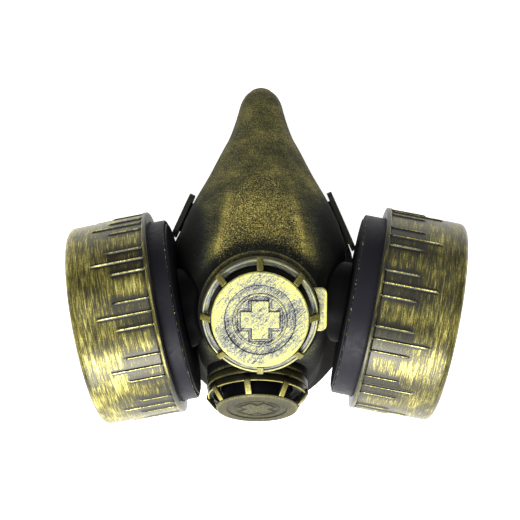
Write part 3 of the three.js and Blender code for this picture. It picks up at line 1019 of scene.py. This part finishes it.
@dataclass
class Valve:
    """A round valve: a seat, a collar, a cage of slanted ribs and a faced disc.

    Heights count from the facepiece's crest along the valve's axis.

    Attributes:
        name: What its nodes' names start with.
        along: Where it stands, a share of the facepiece's length from the chin.
        aside: How far it stands aside, along X.
        crest: Height of the crest under it.
        tilt: How far it leans towards the chin, in degrees.
        seat_radius: The seat's radius.
        rim: The cage's radius.
        cage_turn: The cage's turn about the axis, in degrees.
        cross_turn: The cross's turn, in degrees.
        lip_wear: Bare metal on the ring's lip.
        shoulder_wear: Bare metal on the seat's and the collar's edges.
        rib_fade: How much less paint a rib has at its foot than at its head.
        tone: Strength of the shades on the disc.
        cross_rise: Height of the cross over the disc.
        around: Points round the valve.
    """

    name: str
    along: float
    aside: float
    crest: float
    tilt: float
    seat_radius: float
    rim: float
    cage_turn: float
    cross_turn: float
    seat_height: float = 3.0
    seat_root: float = 9.0
    collar_height: float = 3.7
    collar_proud: float = 0.6
    clearance: float = 0.35
    ring_height: float = 3.0
    ring_width: float = 2.7
    lip_width: float = 0.9
    lip_height: float = 0.6
    ribs: int = 8
    rib_width: float = 3.0
    rib_proud: float = 1.0
    rib_depth: float = 2.6
    disc_rise: float = 7.2
    disc_inset: float = 4.4
    disc_thickness: float = 2.0
    drum_share: float = 0.68
    lip_wear: float = 0.35
    shoulder_wear: float = 1.0
    rib_fade: float = 0.0
    tone: float = 1.0
    cross_rise: float = 0.42
    around: int = 256

    def place(self) -> tuple[np.ndarray, np.ndarray]:
        """The valve's origin on the crest, and the rows of its axes: right, towards the chin, and out."""
        tilt = math.radians(self.tilt)
        length, offset = FACEPIECE_LENGTH, facepiece_offset()
        origin = np.array([self.aside, (self.along - 0.5) * length, self.crest]) + offset
        out = np.array([0.0, -math.sin(tilt), math.cos(tilt)])
        down = np.array([0.0, -math.cos(tilt), -math.sin(tilt)])
        return origin, np.array([[1.0, 0.0, 0.0], down, out])

    def distance(self, points: np.ndarray) -> np.ndarray:
        """How far points stand outside the seat's cylinder."""
        origin, axes = self.place()
        local = (points - origin) @ axes.T
        return np.hypot(local[..., 0], local[..., 1]) - self.seat_radius

    @property
    def ring_foot(self) -> float:
        """Height of the cage's ring over the crest."""
        return self.seat_height + self.collar_height + 2 * self.clearance

    @property
    def ring_top(self) -> float:
        """Height of the ring's upper face."""
        return self.ring_foot + self.ring_height

    @property
    def angles(self) -> np.ndarray:
        """The angles round the valve."""
        return np.linspace(0, 2 * math.pi, self.around, endpoint=False)

    def turned(
        self,
        profile: np.ndarray,
        edge: np.ndarray,
        soot: np.ndarray,
        gold: float,
        closed: bool,
    ) -> Surface:
        """Turns a profile of (height, radius) about the valve's axis, brushed round it.

        Args:
            profile: The rows of height and radius.
            edge: Wear per profile point.
            soot: Painted shade per profile point.
            gold: Paint all over.
            closed: Whether the profile closes on itself.

        Returns:
            The surface in its place.
        """
        angles = self.angles
        shape = (len(profile), len(angles))
        height = np.broadcast_to(profile[:, :1], shape)
        radius = np.broadcast_to(profile[:, 1:], shape)
        values = {
            "gold": np.full(shape, gold),
            "edge": np.broadcast_to(edge[:, None], shape),
            "soot": np.broadcast_to(soot[:, None], shape),
            "stipple": np.zeros(shape),
            "stroke": np.stack([radius * np.cos(angles), radius * np.sin(angles), height + radius], axis=-1),
        }
        surface = revolved(profile, angles, values, closed)
        return surface.placed(*self.place())

    def seat(self) -> Surface:
        """The seat that is moulded on the facepiece."""
        top, root, r = self.seat_height, -self.seat_root, self.seat_radius
        profile = filleted([(root, 0, 0), (root, r, 0.5), (top, r, 0.8), (top, 0, 0)], 5)
        profile = densified(profile, 2.0)
        height, radius = profile.T
        edge = 0.5 * self.shoulder_wear * bell(height - top + 0.2, 0.7) * bell(radius - r + 0.3, 0.8)
        # Painted shade on the seat's side below its top, in the corner where it meets the shell.
        soot = 0.75 * smoothstep(top - 1.0, top - 3.0, height) * smoothstep(r - 1, r, radius)
        surface = self.turned(profile, edge, soot, -0.02, False)
        origin, axes = self.place()
        local = (surface.points - origin) @ axes.T
        nose_side = smoothstep(-0.1, 0.75, -local[:, 1] / r)
        surface.values["edge"] = surface.values["edge"] * nose_side
        surface.values["gold"] = surface.values["gold"] - 0.4 * (1 - nose_side)
        return surface

    def collar(self) -> Surface:
        """The collar between the seat and the cage."""
        outer = self.rim + self.collar_proud
        inner = self.rim * self.drum_share + 1.2
        foot = self.seat_height + self.clearance
        top = foot + self.collar_height
        profile = filleted(
            [(foot, inner, 0.3), (top, inner, 0.3), (top, outer, 0.9), (foot, outer, 0.5)], 4, closed=True
        )
        height, radius = profile.T
        edge = 0.45 * self.shoulder_wear * bell(height - top + 0.3, 0.6) * bell(radius - outer + 0.3, 0.7)
        # Painted shade darkens the collar towards its middle, under the cage, and round its foot.
        soot = 0.5 * smoothstep(outer - 2, outer - 5, radius) + 0.3 * bell(height - foot, 0.9)
        return self.turned(profile, edge, soot, 0.08, True)

    def cage_ring(self) -> Surface:
        """The cage's flat ring with its thin lip."""
        rim, foot, top = self.rim, self.ring_foot, self.ring_top
        inner = rim - self.ring_width
        profile = filleted(
            [
                (foot, inner, 0.3),
                (top, inner, 0.3),
                (top, rim - self.lip_width, 0.15),
                (top + self.lip_height, rim - self.lip_width, 0.25),
                (top + self.lip_height, rim, 0.3),
                (foot, rim, 0.5),
            ],
            3,
            closed=True,
        )
        height, radius = profile.T
        on_lip = smoothstep(rim - 1.2, rim - 0.8, radius)
        edge = self.lip_wear * bell(height - top - self.lip_height, 0.35) * on_lip
        # Painted shade darkens the ring below its upper face, most on its inner wall and underside.
        soot = 0.6 * smoothstep(top - 0.8, top - 2.0, height) * smoothstep(rim - 0.5, rim - 1.5, radius)
        soot = soot + 0.25 * smoothstep(top, top - 1.5, height)
        return self.turned(profile, edge, soot, 0.0, True)

    def rib(self, turn: float) -> Surface:
        """One slanted rib: a rounded plate whose outline leans from the ring to the disc.

        Args:
            turn: Its angle from the nose, in radians.

        Returns:
            The rib in its place.
        """
        rim, foot, top = self.rim, self.ring_foot, self.ring_top
        inner = rim - self.disc_inset + self.clearance
        crown = top + self.disc_rise - self.clearance
        near = rim - self.ring_width * 0.9
        outline = filleted(
            [
                (near, top - self.ring_height / 3, 0.2),
                (rim + self.rib_proud, foot + self.ring_height / 3, 0.5),
                (rim + self.rib_proud, top + self.lip_height, 0.9),
                (inner, crown, 0.3),
                (inner, crown - self.rib_depth, 0.2),
                (near, top + self.rib_depth / 2, 0.2),
            ],
            4,
            closed=True,
        )
        plate = slab(outline, self.rib_width, 0.4)
        radial, height, across = plate.points.T
        lean = (rim + self.rib_proud - inner) / self.disc_rise
        outward_face = smoothstep(-0.4, 0.4, (radial - inner) + (height - crown) * lean + 0.6)
        plate.values["edge"] = 0.75 * plate.values["edge"] * outward_face
        plate.values["gold"] = 0.04 + self.rib_fade * ((height - top) / self.disc_rise - 0.55)
        # Painted shade darkens the rib below its slanted outer edge, down between the ring and the disc.
        plate.values["soot"] = 0.7 * (1 - outward_face)
        plate.values["stipple"] = np.zeros(len(radial))
        plate.values["stroke"] = np.stack([radial, height, across], axis=-1)
        out = np.array([math.sin(turn), -math.cos(turn), 0.0])
        side = np.array([math.cos(turn), math.sin(turn), 0.0])
        plate.placed(np.zeros(3), np.array([out, [0.0, 0.0, 1.0], side]))
        plate.placed(*self.place())
        return plate.outward()

    def cross(self, x: np.ndarray, y: np.ndarray, radius: float) -> np.ndarray:
        """Signed distance to an even-armed cross, negative inside.

        Each arm is a box, whose distance is the length of how far a point lies past its half sizes, and the
        smaller distance of the two arms counts.

        Args:
            x: Across the disc.
            y: Up the disc.
            radius: The disc's radius.

        Returns:
            The distance in millimetres.
        """
        arm, span = 0.175 * radius, 0.4 * radius

        def box(a: np.ndarray, b: np.ndarray) -> np.ndarray:
            """Distance to a box of half sizes span and arm."""
            p, q = np.abs(a) - span, np.abs(b) - arm
            outside = np.hypot(np.maximum(p, 0), np.maximum(q, 0))
            return outside + np.minimum(np.maximum(p, q), 0)

        return np.minimum(box(x, y), box(y, x))

    def disc(self, drum: bool) -> Surface:
        """The faced disc, or the dark drum that it stands on.

        The face is a height field on rings: a band, a step, a thin raised ring and the cross.

        Args:
            drum: Whether to make the drum instead of the disc.

        Returns:
            The surface in its place.
        """
        radius = self.rim - self.disc_inset
        face = self.ring_top + self.disc_rise
        under = face - self.disc_thickness
        if drum:
            r, foot = self.rim * self.drum_share, self.seat_height + self.clearance
            profile = filleted([(foot, 0, 0), (foot, r, 0.3), (under, r, 0.3), (under, 0, 0)], 3)
            zero = np.zeros(len(profile))
            return self.turned(profile, zero, zero + 1.0, -0.5, False)
        roll, nick = 0.7, 0.3
        curl = radius - roll + roll * np.sin(np.linspace(0.15, math.pi / 2, 8))
        rings = np.concatenate([np.linspace(0, radius - roll, 150), curl])
        rolled = face - roll + roll * np.cos(np.clip((rings - radius + roll) / roll, 0, 1) * math.pi / 2)
        seated = self.rim * self.drum_share
        below = np.array([[under + nick, radius], [under, radius - nick], [under, seated], [under, 0.0]])
        profile = np.vstack([np.stack([rolled, rings], axis=-1), below])
        angles = np.linspace(0, 2 * math.pi, 288, endpoint=False)
        grid = np.repeat(profile[:, None, :], len(angles), axis=1)
        turn = math.radians(self.cross_turn)
        x = grid[..., 1] * np.cos(angles + turn)
        y = -grid[..., 1] * np.sin(angles + turn)
        rad = grid[..., 1] / radius
        top = (np.arange(len(profile)) < len(rings))[:, None]
        gap = self.cross(x, y, radius)
        lift = 0.4 * smoothstep(0.715, 0.735, rad) + 0.3 * bell((rad - 0.53) * radius, 0.28)
        lift = lift + self.cross_rise * smoothstep(0.4, -0.4, gap) - 0.2 * bell(gap - 0.9, 0.3)
        grid[..., 0] = grid[..., 0] + np.where(top, lift - 0.4, 0.0)
        # Painted shade on the disc: thin dark lines at the rings, a soft shade inside the raised ring and
        # round the cross, a dark outline round the cross, and a dark side and underside.
        line = bell((rad - 0.724) * radius, 0.2) + bell((rad - 0.56) * radius, 0.16)
        line = line + 0.8 * bell((rad - 0.5) * radius, 0.16)
        ring_shade = 0.04 * smoothstep(0.76, 0.7, rad) + 0.12 * bell((rad - 0.68) * radius, 1.0)
        ring_shade = self.tone * (0.8 * ring_shade + 0.12 * bell(gap - 0.7, 1.0))
        outline = 0.55 * bell(gap - 0.1, 0.25) + 0.4 * bell(gap - 1.35, 0.22)
        soot = np.where(top, 0.5 * line + ring_shade + 0.8 * outline * (rad < 0.5), 0.9)
        edge = np.where(top, 0.35 * smoothstep(radius - 1.8, radius - 0.6, grid[..., 1]), 0.4)
        bright = self.tone * (0.08 * smoothstep(0.76, 0.9, rad) + 0.1 * smoothstep(0.2, -0.4, gap))
        gold = np.where(top, bright, -0.3)
        along, across = (x + y) / math.sqrt(2), (x - y) / math.sqrt(2)
        values = {
            "gold": gold + np.zeros_like(x),
            "edge": edge + np.zeros_like(x),
            "soot": soot + np.zeros_like(x),
            "stipple": np.zeros_like(x),
            "stroke": np.stack([along, np.zeros_like(x), across], axis=-1),
        }
        return revolved(grid, angles, values).placed(*self.place())

    def dress(self, palette: Palette, ring_finish: Material, disc_finish: Material) -> None:
        """Builds the collar, the cage and the disc.

        Args:
            palette: The shared finishes.
            ring_finish: The finish of the cage's ring.
            disc_finish: The finish of the disc.
        """
        collar, cage, disc = (f"{self.name}_{part}" for part in ("collar", "cage", "disc"))
        turns = math.radians(self.cage_turn) + np.arange(self.ribs) * 2 * math.pi / self.ribs
        ribs = joined([self.rib(float(turn)) for turn in turns])
        build(self.collar(), f"{collar}_turned", palette.housing, Slot.ANTIQUE_GOLD, collar)
        build(self.cage_ring(), f"{cage}_ring", ring_finish, Slot.ANTIQUE_GOLD, cage)
        build(ribs, f"{cage}_ribs", palette.housing, Slot.ANTIQUE_GOLD, cage)
        build(self.disc(False), f"{disc}_face", disc_finish, Slot.PALE_GOLD, disc)
        build(self.disc(True), f"{disc}_drum", palette.black, Slot.PALE_GOLD, disc)


FRONT_VALVE = Valve(
    "front_valve", along=0.322, aside=-0.5, crest=79.21, tilt=11.1, seat_radius=29.4, rim=26.8,
    cage_turn=0.0, cross_turn=0.0,
)
LOWER_VALVE = Valve(
    "lower_valve", along=0.117, aside=-2.0, crest=41.9, tilt=63.2, seat_radius=25.6, rim=25.0,
    cage_turn=-11.0, cross_turn=45.0, lip_wear=1.0, shoulder_wear=0.3, rib_fade=0.35, tone=0.35,
    cross_rise=0.25,
)


@dataclass
class ValveEar:
    """The small plate that stands out beside the front valve's collar."""

    valve: Valve
    length: float = 20.5
    reach: float = 4.4
    thickness: float = 2.4
    corner: float = 2.8
    shift: float = 2.0

    def dress(self, palette: Palette) -> None:
        """Builds the ear."""
        inner = self.valve.rim + self.valve.collar_proud + self.valve.clearance + 0.05
        half = self.length / 2
        share = 0.5 - 0.5 * np.cos(math.pi * np.linspace(0, 1, 61))
        y = (2 * share - 1) * (half - 0.02)
        past = np.clip((np.abs(y) - (half - self.corner)) / self.corner, 0, 1)
        far = self.valve.rim + self.reach - self.corner * (1 - np.sqrt(1 - past**2))
        near = np.sqrt(inner**2 - (y - self.shift) ** 2)
        half_thick = (self.thickness / 2) * (1 - 0.25 * smoothstep(0.7, 0, half - np.abs(y)))
        turn = np.linspace(0, 2 * math.pi, 48, endpoint=False)
        wide = np.sign(np.cos(turn)) * np.abs(np.cos(turn)) ** 0.35
        thick = np.sign(np.sin(turn)) * np.abs(np.sin(turn)) ** 0.35
        x = (near + far)[:, None] / 2 + (far - near)[:, None] / 2 * wide[None]
        z = half_thick[:, None] * thick[None]
        loops = np.stack([x, np.repeat((y - self.shift)[:, None], len(turn), axis=1), z], axis=-1)
        rows, columns = x.shape
        ends = np.array([loops[0].mean(0), loops[-1].mean(0)])
        first = np.arange(columns)
        count = rows * columns
        caps = np.vstack([fan(count, first[::-1]), fan(count + 1, first + count - columns)])
        points = np.vstack([loops.reshape(-1, 3), ends])
        plate = Surface(points, grid_quads(rows, columns, False, True), caps)
        x, y, z = points.T
        outer_edge = smoothstep(self.valve.rim + self.reach - 1.6, self.valve.rim + self.reach - 0.3, x)
        plate.values["edge"] = 0.9 * outer_edge
        seam = bell(y - (half - self.shift) + 5.5, 0.5) * smoothstep(29.5, 28.5, x)
        plate.values["gold"] = 0.02 - 0.25 * seam
        plate.values["soot"] = np.zeros(len(x))
        plate.values["stipple"] = np.zeros(len(x))
        plate.values["stroke"] = np.stack([(x + y) / math.sqrt(2), z, (x - y) / math.sqrt(2)], axis=-1)
        lift = self.valve.seat_height + 2 * self.valve.clearance + self.thickness / 2
        plate.placed(np.array([0.0, 0.0, lift]), np.eye(3)).placed(*self.valve.place())
        build(plate.outward(), "front_valve_ear_plate", palette.disc, Slot.PALE_GOLD, "front_valve_ear")


# Filters


@dataclass
class Filter:
    """A drum filter: a black base, and a can with a bead and groups of raised marks.

    Attributes:
        side: The wearer's side.
        along: Where it stands, a share of the facepiece's length from the chin.
        turn: The can's turn about the drum's axis, in degrees.
        rise: How far the axis rises outwards, in degrees.
        stand_off: From the cheek to the base.
        mouth: From the base's inner face to the can's mouth.
        cheek: The cheek's half width under it.
        paint: Paint added on this can.
        droop: How far the axis leans towards the chin, in degrees.
        height: Height of the base's middle.
        base_radius: The base's radius.
        neck_radius: The neck's radius.
        neck_gap: From the neck to the base.
        neck_bend: The round at the neck's far end.
        radius: The can's radius.
        length: From the can's mouth to its outer face.
        groups: Groups of three marks round the can.
        pitch: Degrees between the marks of a group.
        mark_rise: Height of a mark.
        mark_half: Half of its width.
        long_mark: Length of the middle mark of a group.
        short_mark: Length of the other two.
    """

    side: Side
    along: float
    turn: float
    rise: float
    stand_off: float
    mouth: float
    cheek: float
    paint: float
    droop: float = 10.9
    height: float = 56.0
    base_radius: float = 44.6
    base_wall: float = 2.5
    base_bevel: float = 1.0
    step_inset: float = 2.2
    step_height: float = 0.7
    base_length: float = 16.0
    neck_radius: float = 20.0
    neck_gap: float = 0.35
    neck_bend: float = 2.5
    radius: float = 49.08
    wall: float = 2.0
    length: float = 39.5
    corner: float = 3.0
    bead_proud: float = 1.0
    bead_length: float = 2.7
    lip_length: float = 3.1
    groups: int = 12
    pitch: float = 7.0
    mark_rise: float = 0.7
    mark_half: float = 0.43
    long_mark: float = 23.7
    short_mark: float = 15.5

    def place(self) -> tuple[np.ndarray, np.ndarray]:
        """The base's middle, and the rows of its axes: up, towards the chin, and out along the drum."""
        sign, droop, rise = self.side.value, math.radians(self.droop), math.radians(self.rise)
        aside, ahead = sign * (self.cheek + self.stand_off), (self.along - 0.5) * FACEPIECE_LENGTH
        origin = np.array([aside, ahead, self.height])
        level = np.array([sign * math.cos(droop), -math.sin(droop), 0.0])
        chin = np.array([-sign * math.sin(droop), -math.cos(droop), 0.0])
        up = np.array([0.0, 0.0, 1.0])
        out = level * math.cos(rise) + up * math.sin(rise)
        top = up * math.cos(rise) - level * math.sin(rise)
        return origin + facepiece_offset(), np.array([top, chin, out])

    @property
    def tag(self) -> str:
        """The side as the nodes name it."""
        return self.side.name.lower()

    def base(self) -> Surface:
        """The black base: a shallow cup with a stepped inner face."""
        r, step = self.base_radius, self.step_height
        profile = filleted(
            [
                (0, 0, 0),
                (0, r - self.step_inset, 0.4),
                (step, r - self.step_inset, 0.2),
                (step, r, self.base_bevel),
                (self.base_length, r, 0.3),
                (self.base_length, r - self.base_wall, 0.3),
                (step + self.base_wall, r - self.base_wall, 0.5),
                (step + self.base_wall, 0, 0),
            ],
            5,
        )
        profile = densified(profile, 3.0)
        angles = np.linspace(0, 2 * math.pi, 240, endpoint=False)
        height, radius = profile.T
        worn = bell(np.hypot(height - step - 0.3, radius - r + 0.3), 0.7)
        worn = worn + 0.6 * bell(np.hypot(height, radius - r + self.step_inset), 0.6)
        edge = np.repeat(worn[:, None], len(angles), axis=1)
        return revolved(profile, angles, {"edge": edge}).placed(*self.place()).outward()

    def neck(self) -> Surface:
        """The neck between the base and the cheek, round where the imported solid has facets.

        The solid's side tells how deep its rim lies at every angle. The end swells from that rim to its
        middle as a parabola, as the cheek does.

        Returns:
            The neck in its place.
        """
        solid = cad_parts[f"filter_neck_{self.tag}"]
        flat = np.empty(3 * len(solid.data.vertices))
        solid.data.vertices.foreach_get("co", flat)
        matrix = np.array(solid.matrix_world)
        corners = (flat.reshape(-1, 3) @ matrix[:3, :3].T + matrix[:3, 3]) / MM
        origin, axes = self.place()
        top, chin, height = ((corners - origin) @ axes.T).T
        reach = np.hypot(top, chin)
        far = height < -self.neck_gap - 0.1
        rim = far & (reach > 0.96 * self.neck_radius)
        around = np.arctan2(chin, top)[rim]
        order = np.argsort(around)
        angles = np.linspace(0, 2 * math.pi, 180, endpoint=False)
        depth = np.interp(angles, around[order], height[rim][order], period=2 * math.pi)
        middle = height[far & (reach < 0.5 * self.neck_radius)].mean()
        r, bend = self.neck_radius - 0.05, self.neck_bend
        share = np.linspace(0, 1, 9)[:, None]
        side = -self.neck_gap + share * (depth + bend + self.neck_gap)
        lean = np.linspace(0, math.pi / 2, 6)[1:, None]
        inside = np.linspace(1, 0, 9)[1:, None]
        cap_radius = (r - bend) * inside
        cap = middle + (depth - middle) * inside**2
        front = np.full((1, len(angles)), -self.neck_gap)
        height = np.vstack([front, side, depth + bend * (1 - np.sin(lean)), cap])
        straight, turned = np.full((len(share), 1), r), r - bend * (1 - np.cos(lean))
        radius = np.broadcast_to(np.concatenate([[[0.0]], straight, turned, cap_radius]), height.shape)
        grid = np.stack([height, radius], axis=-1)
        return revolved(grid, angles, {"edge": np.zeros(height.shape)}).placed(origin, axes).outward()

    def mark_angles(self) -> np.ndarray:
        """The angle of every mark from straight up, towards the chin, in radians, and its length."""
        rng = np.random.default_rng(7 if self.side is Side.LEFT else 11)
        group = np.repeat(np.arange(self.groups), 3)
        step = np.tile([-1, 0, 1], self.groups)
        angle = np.radians(self.turn + group * 360 / self.groups + step * self.pitch)
        length = np.where(step == 0, self.long_mark, self.short_mark) + rng.uniform(-0.9, 0.9, len(step))
        return np.stack([angle, length], axis=-1)

    def can(self) -> Surface:
        """The can: a cup turned from its profile, with the marks raised on its side.

        Angles crowd round every mark. Across a mark the side rises by the root of a parabola and it fades
        over its last millimetre, and painted shade darkens its feet, the back of the bead and the crease
        where the side meets the bead.

        Returns:
            The can in its place.
        """
        mouth, end, r = self.mouth, self.mouth + self.length, self.radius
        bead, grip = r + self.bead_proud, self.base_radius + 0.35
        profile = filleted(
            [
                (end, 0, 0),
                (end - 0.35, r, self.corner),
                (mouth + self.bead_length, r, 0.3),
                (mouth + self.bead_length - 0.9, bead, 0.8),
                (mouth, bead, 0.7),
                (mouth, grip, 0.3),
                (mouth + self.lip_length, grip, 0.2),
                (mouth + self.lip_length, r - self.wall, 0.3),
                (end - self.wall, r - self.wall, 1.0),
                (end - self.wall, 0, 0),
            ],
            4,
        )
        side = (profile[:, 0] > mouth) & (profile[:, 1] > r - 0.2)
        first, last = np.flatnonzero(side)[[0, -1]]
        fine = densified(profile[first : last + 1], 1.15)
        end_face, inside = densified(profile[: first + 1], 8.0), densified(profile[last:], 8.0)
        profile = np.vstack([end_face, fine[1:], inside[1:]])
        marks = self.mark_angles()
        near = np.array([-1.5, -0.85, -0.5, -0.4, -0.25, -0.1, 0.1, 0.25, 0.4, 0.5, 0.85, 1.5]) / r
        spaced = (marks[:, :1] + near[None, :]).reshape(-1)
        every = np.concatenate([spaced, np.radians(np.arange(0, 360, 2.0))])
        angles = np.unique(np.round(every % (2 * math.pi), 5))
        angles = angles[np.concatenate([[True], np.diff(angles) > 0.0016])]
        grid = np.repeat(profile[:, None, :], len(angles), axis=1)
        height, radius = grid[..., 0], grid[..., 1]
        around = (angles[None, :] - marks[:, :1] + math.pi) % (2 * math.pi) - math.pi
        nearest = np.abs(around).argmin(0)
        gap = around[nearest, np.arange(len(angles))] * r
        reach = marks[nearest, 1]
        start = mouth + self.bead_length
        on_side = smoothstep(r - 1.0, r - 0.05, radius) * (height > start - 0.6) * (height < end - 1.0)
        fade = smoothstep(start + reach + 0.6, start + reach - 0.6, height) * on_side
        dome = np.sqrt(np.clip(1 - (gap / self.mark_half) ** 2, 0, 1))[None, :]
        grid[..., 1] = radius + self.mark_rise * dome * fade
        # Painted shade: at the feet of the marks, behind the bead and in the crease where the side meets it.
        foot = (bell(np.abs(gap) - 0.8, 0.5))[None, :] * fade
        group = (np.degrees(angles) - self.turn + 15) % 30 - 15
        cluster = smoothstep(11.5, 8.5, np.abs(group))[None, :] * on_side
        cluster = cluster * smoothstep(start + 19, start + 15, height)
        bead_top = bell(radius - bead, 0.5) * (height < start) * (height > mouth + 0.8)
        back = smoothstep(mouth + 1.0, mouth + 0.2, height) * smoothstep(bead - 2.5, bead - 0.5, radius)
        rolled = bell(height - end + 2.0, 1.6) * smoothstep(r - 3, r - 0.3, radius) * (height > start)
        crease = 0.5 * bell(height - start - 0.3, 0.5) * on_side
        values = {
            "gold": self.paint - 0.2 * cluster - 0.06 * smoothstep(r - 1.5, r - 4, radius) - 0.1 * bead_top,
            "edge": np.clip(1.3 * dome**2 * fade + 0.15 * bead_top + 0.1 * rolled, 0, 1.3),
            "soot": np.clip(0.75 * foot + 0.9 * back + crease, 0, 1.2),
            "stipple": 0.25 * cluster + np.zeros_like(height),
            "stroke": np.stack([radius * np.cos(angles), radius * np.sin(angles), height - radius], axis=-1),
        }
        return revolved(grid, angles, values).placed(*self.place()).outward()

    def dress(self, palette: Palette) -> None:
        """Builds the base, the can and the neck."""
        base, can, neck = (f"filter_{part}_{self.tag}" for part in ("base", "can", "neck"))
        build(self.base(), f"{base}_turned", palette.black, Slot.BLACK_PLASTIC, base)
        build(self.can(), f"{can}_turned", palette.can, Slot.ANTIQUE_GOLD, can)
        build(self.neck(), f"{neck}_turned", palette.plain, Slot.BLACK_PLASTIC, neck)


FILTERS = (
    Filter(
        Side.LEFT, along=0.338, turn=14.0, rise=3.2, stand_off=4.9, mouth=10.6, cheek=37.34, paint=-0.01,
    ),
    Filter(
        Side.RIGHT, along=0.323, turn=-4.0, rise=0.0, stand_off=1.3, mouth=8.4, cheek=36.82, paint=0.05,
    ),
)


def keep(node: str, material: Material) -> None:
    """Keeps a solid as it is, with a better finish.

    Args:
        node: The solid's name.
        material: The finish for all its faces.
    """
    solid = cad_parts[node]
    for slot in solid.material_slots:
        slot.material = material
    log.info("kept %s", node)


# Studio


@dataclass(frozen=True)
class AreaLamp:
    """A soft square lamp.

    Attributes:
        name: The lamp's name.
        spot: Where it hangs, in metres.
        size: Its side in metres.
        power: Watts.
    """

    name: str
    spot: tuple[float, float, float]
    size: float
    power: float

    def hang(self, aim: np.ndarray) -> None:
        """Hangs the lamp and points it at a place.

        Args:
            aim: The place, in metres.
        """
        data = bpy.data.lights.new(self.name, "AREA")
        data.shape, data.size, data.energy = "SQUARE", self.size, self.power
        lamp = bpy.data.objects.new(self.name, data)
        bpy.context.scene.collection.objects.link(lamp)
        lamp.location = self.spot
        back = unit(np.array(self.spot) - aim)
        side = unit(np.cross([0.0, 1.0, 0.001], back))
        up = np.cross(back, side)
        lamp.rotation_mode = "QUATERNION"
        lamp.rotation_quaternion = Matrix(np.stack([side, up, back], axis=-1).tolist()).to_quaternion()


@dataclass
class Studio:
    """A pale floor, soft lamps and a camera straight over the mask.

    Attributes:
        camera_spot: Where the camera stands, in metres.
        focal_pixels: Its focal length in pixels of the picture.
        frame_pixels: The picture's width.
        sensor: The sensor's width in millimetres.
        lamps: The lamps.
    """

    camera_spot: tuple[float, float, float] = (-0.00385, -0.0044, 0.552)
    focal_pixels: float = 1000.0
    frame_pixels: float = 520.0
    sensor: float = 36.0
    lamps: tuple[AreaLamp, ...] = (
        AreaLamp("chin_softbox", (-0.13, -0.78, 0.72), 0.5, 24.0),
        AreaLamp("low_softbox", (-0.2, -1.0, 0.38), 0.4, 4.0),
        AreaLamp("top_softbox", (-0.2, 0.3, 1.3), 0.5, 6.0),
        AreaLamp("nose_softbox", (0.2, 0.9, 0.8), 0.6, 2.2),
    )

    def build(self) -> None:
        """Sets the floor, the light and the camera."""
        scene = bpy.context.scene
        scene.view_settings.view_transform = "Standard"
        scene.view_settings.look = "None"
        world = bpy.data.worlds.new("soft_white")
        world.use_nodes = True
        background = world.node_tree.nodes["Background"]
        background.inputs["Color"].default_value = (1.0, 1.0, 1.0, 1.0)
        background.inputs["Strength"].default_value = 0.22
        scene.world = world
        for lamp in self.lamps:
            lamp.hang(np.array([0.0, 0.0, 0.05]))
        self.floor()
        data = bpy.data.cameras.new("camera")
        data.sensor_width = self.sensor
        data.lens = self.focal_pixels / self.frame_pixels * self.sensor
        data.clip_start, data.clip_end = 0.01, 20.0
        camera = bpy.data.objects.new("camera", data)
        scene.collection.objects.link(camera)
        camera.location = self.camera_spot
        scene.camera = camera

    def floor(self) -> None:
        """The pale floor that the mask lies on."""
        mesh = bpy.data.meshes.new("floor")
        half = 60.0
        corners = [(-half, -half, 0), (half, -half, 0), (half, half, 0), (-half, half, 0)]
        mesh.from_pydata(corners, [], [(0, 1, 2, 3)])
        n = Nodes("pale_floor")
        n.shader.inputs["Base Color"].default_value = (0.9, 0.9, 0.9, 1.0)
        n.shader.inputs["Roughness"].default_value = 0.9
        n.shader.inputs["Emission Color"].default_value = (1.0, 1.0, 1.0, 1.0)
        n.shader.inputs["Emission Strength"].default_value = 0.72
        mesh.materials.append(n.material)
        floor = bpy.data.objects.new("floor", mesh)
        floor.location = (0.0, 0.0, -0.0002)
        bpy.context.scene.collection.objects.link(floor)


def corners(box: tuple[object, object]) -> list[list[float]]:
    """A box's two corners as plain lists."""
    return [[float(value) for value in corner] for corner in box]


def main() -> None:
    """Builds every piece in order, then the studio."""
    logging.basicConfig(level=logging.INFO, format="%(message)s")
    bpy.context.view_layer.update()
    palette = mix_palette()
    Facepiece().dress(palette)
    FRONT_VALVE.dress(palette, palette.band, palette.disc)
    LOWER_VALVE.dress(palette, palette.housing, palette.lower_disc)
    ValveEar(FRONT_VALVE).dress(palette)
    for drum in FILTERS:
        drum.dress(palette)
    for tag in ("left", "right"):
        keep(f"strap_lug_{tag}", palette.housing)
    Studio().build()


if __name__ == "__main__":
    main()
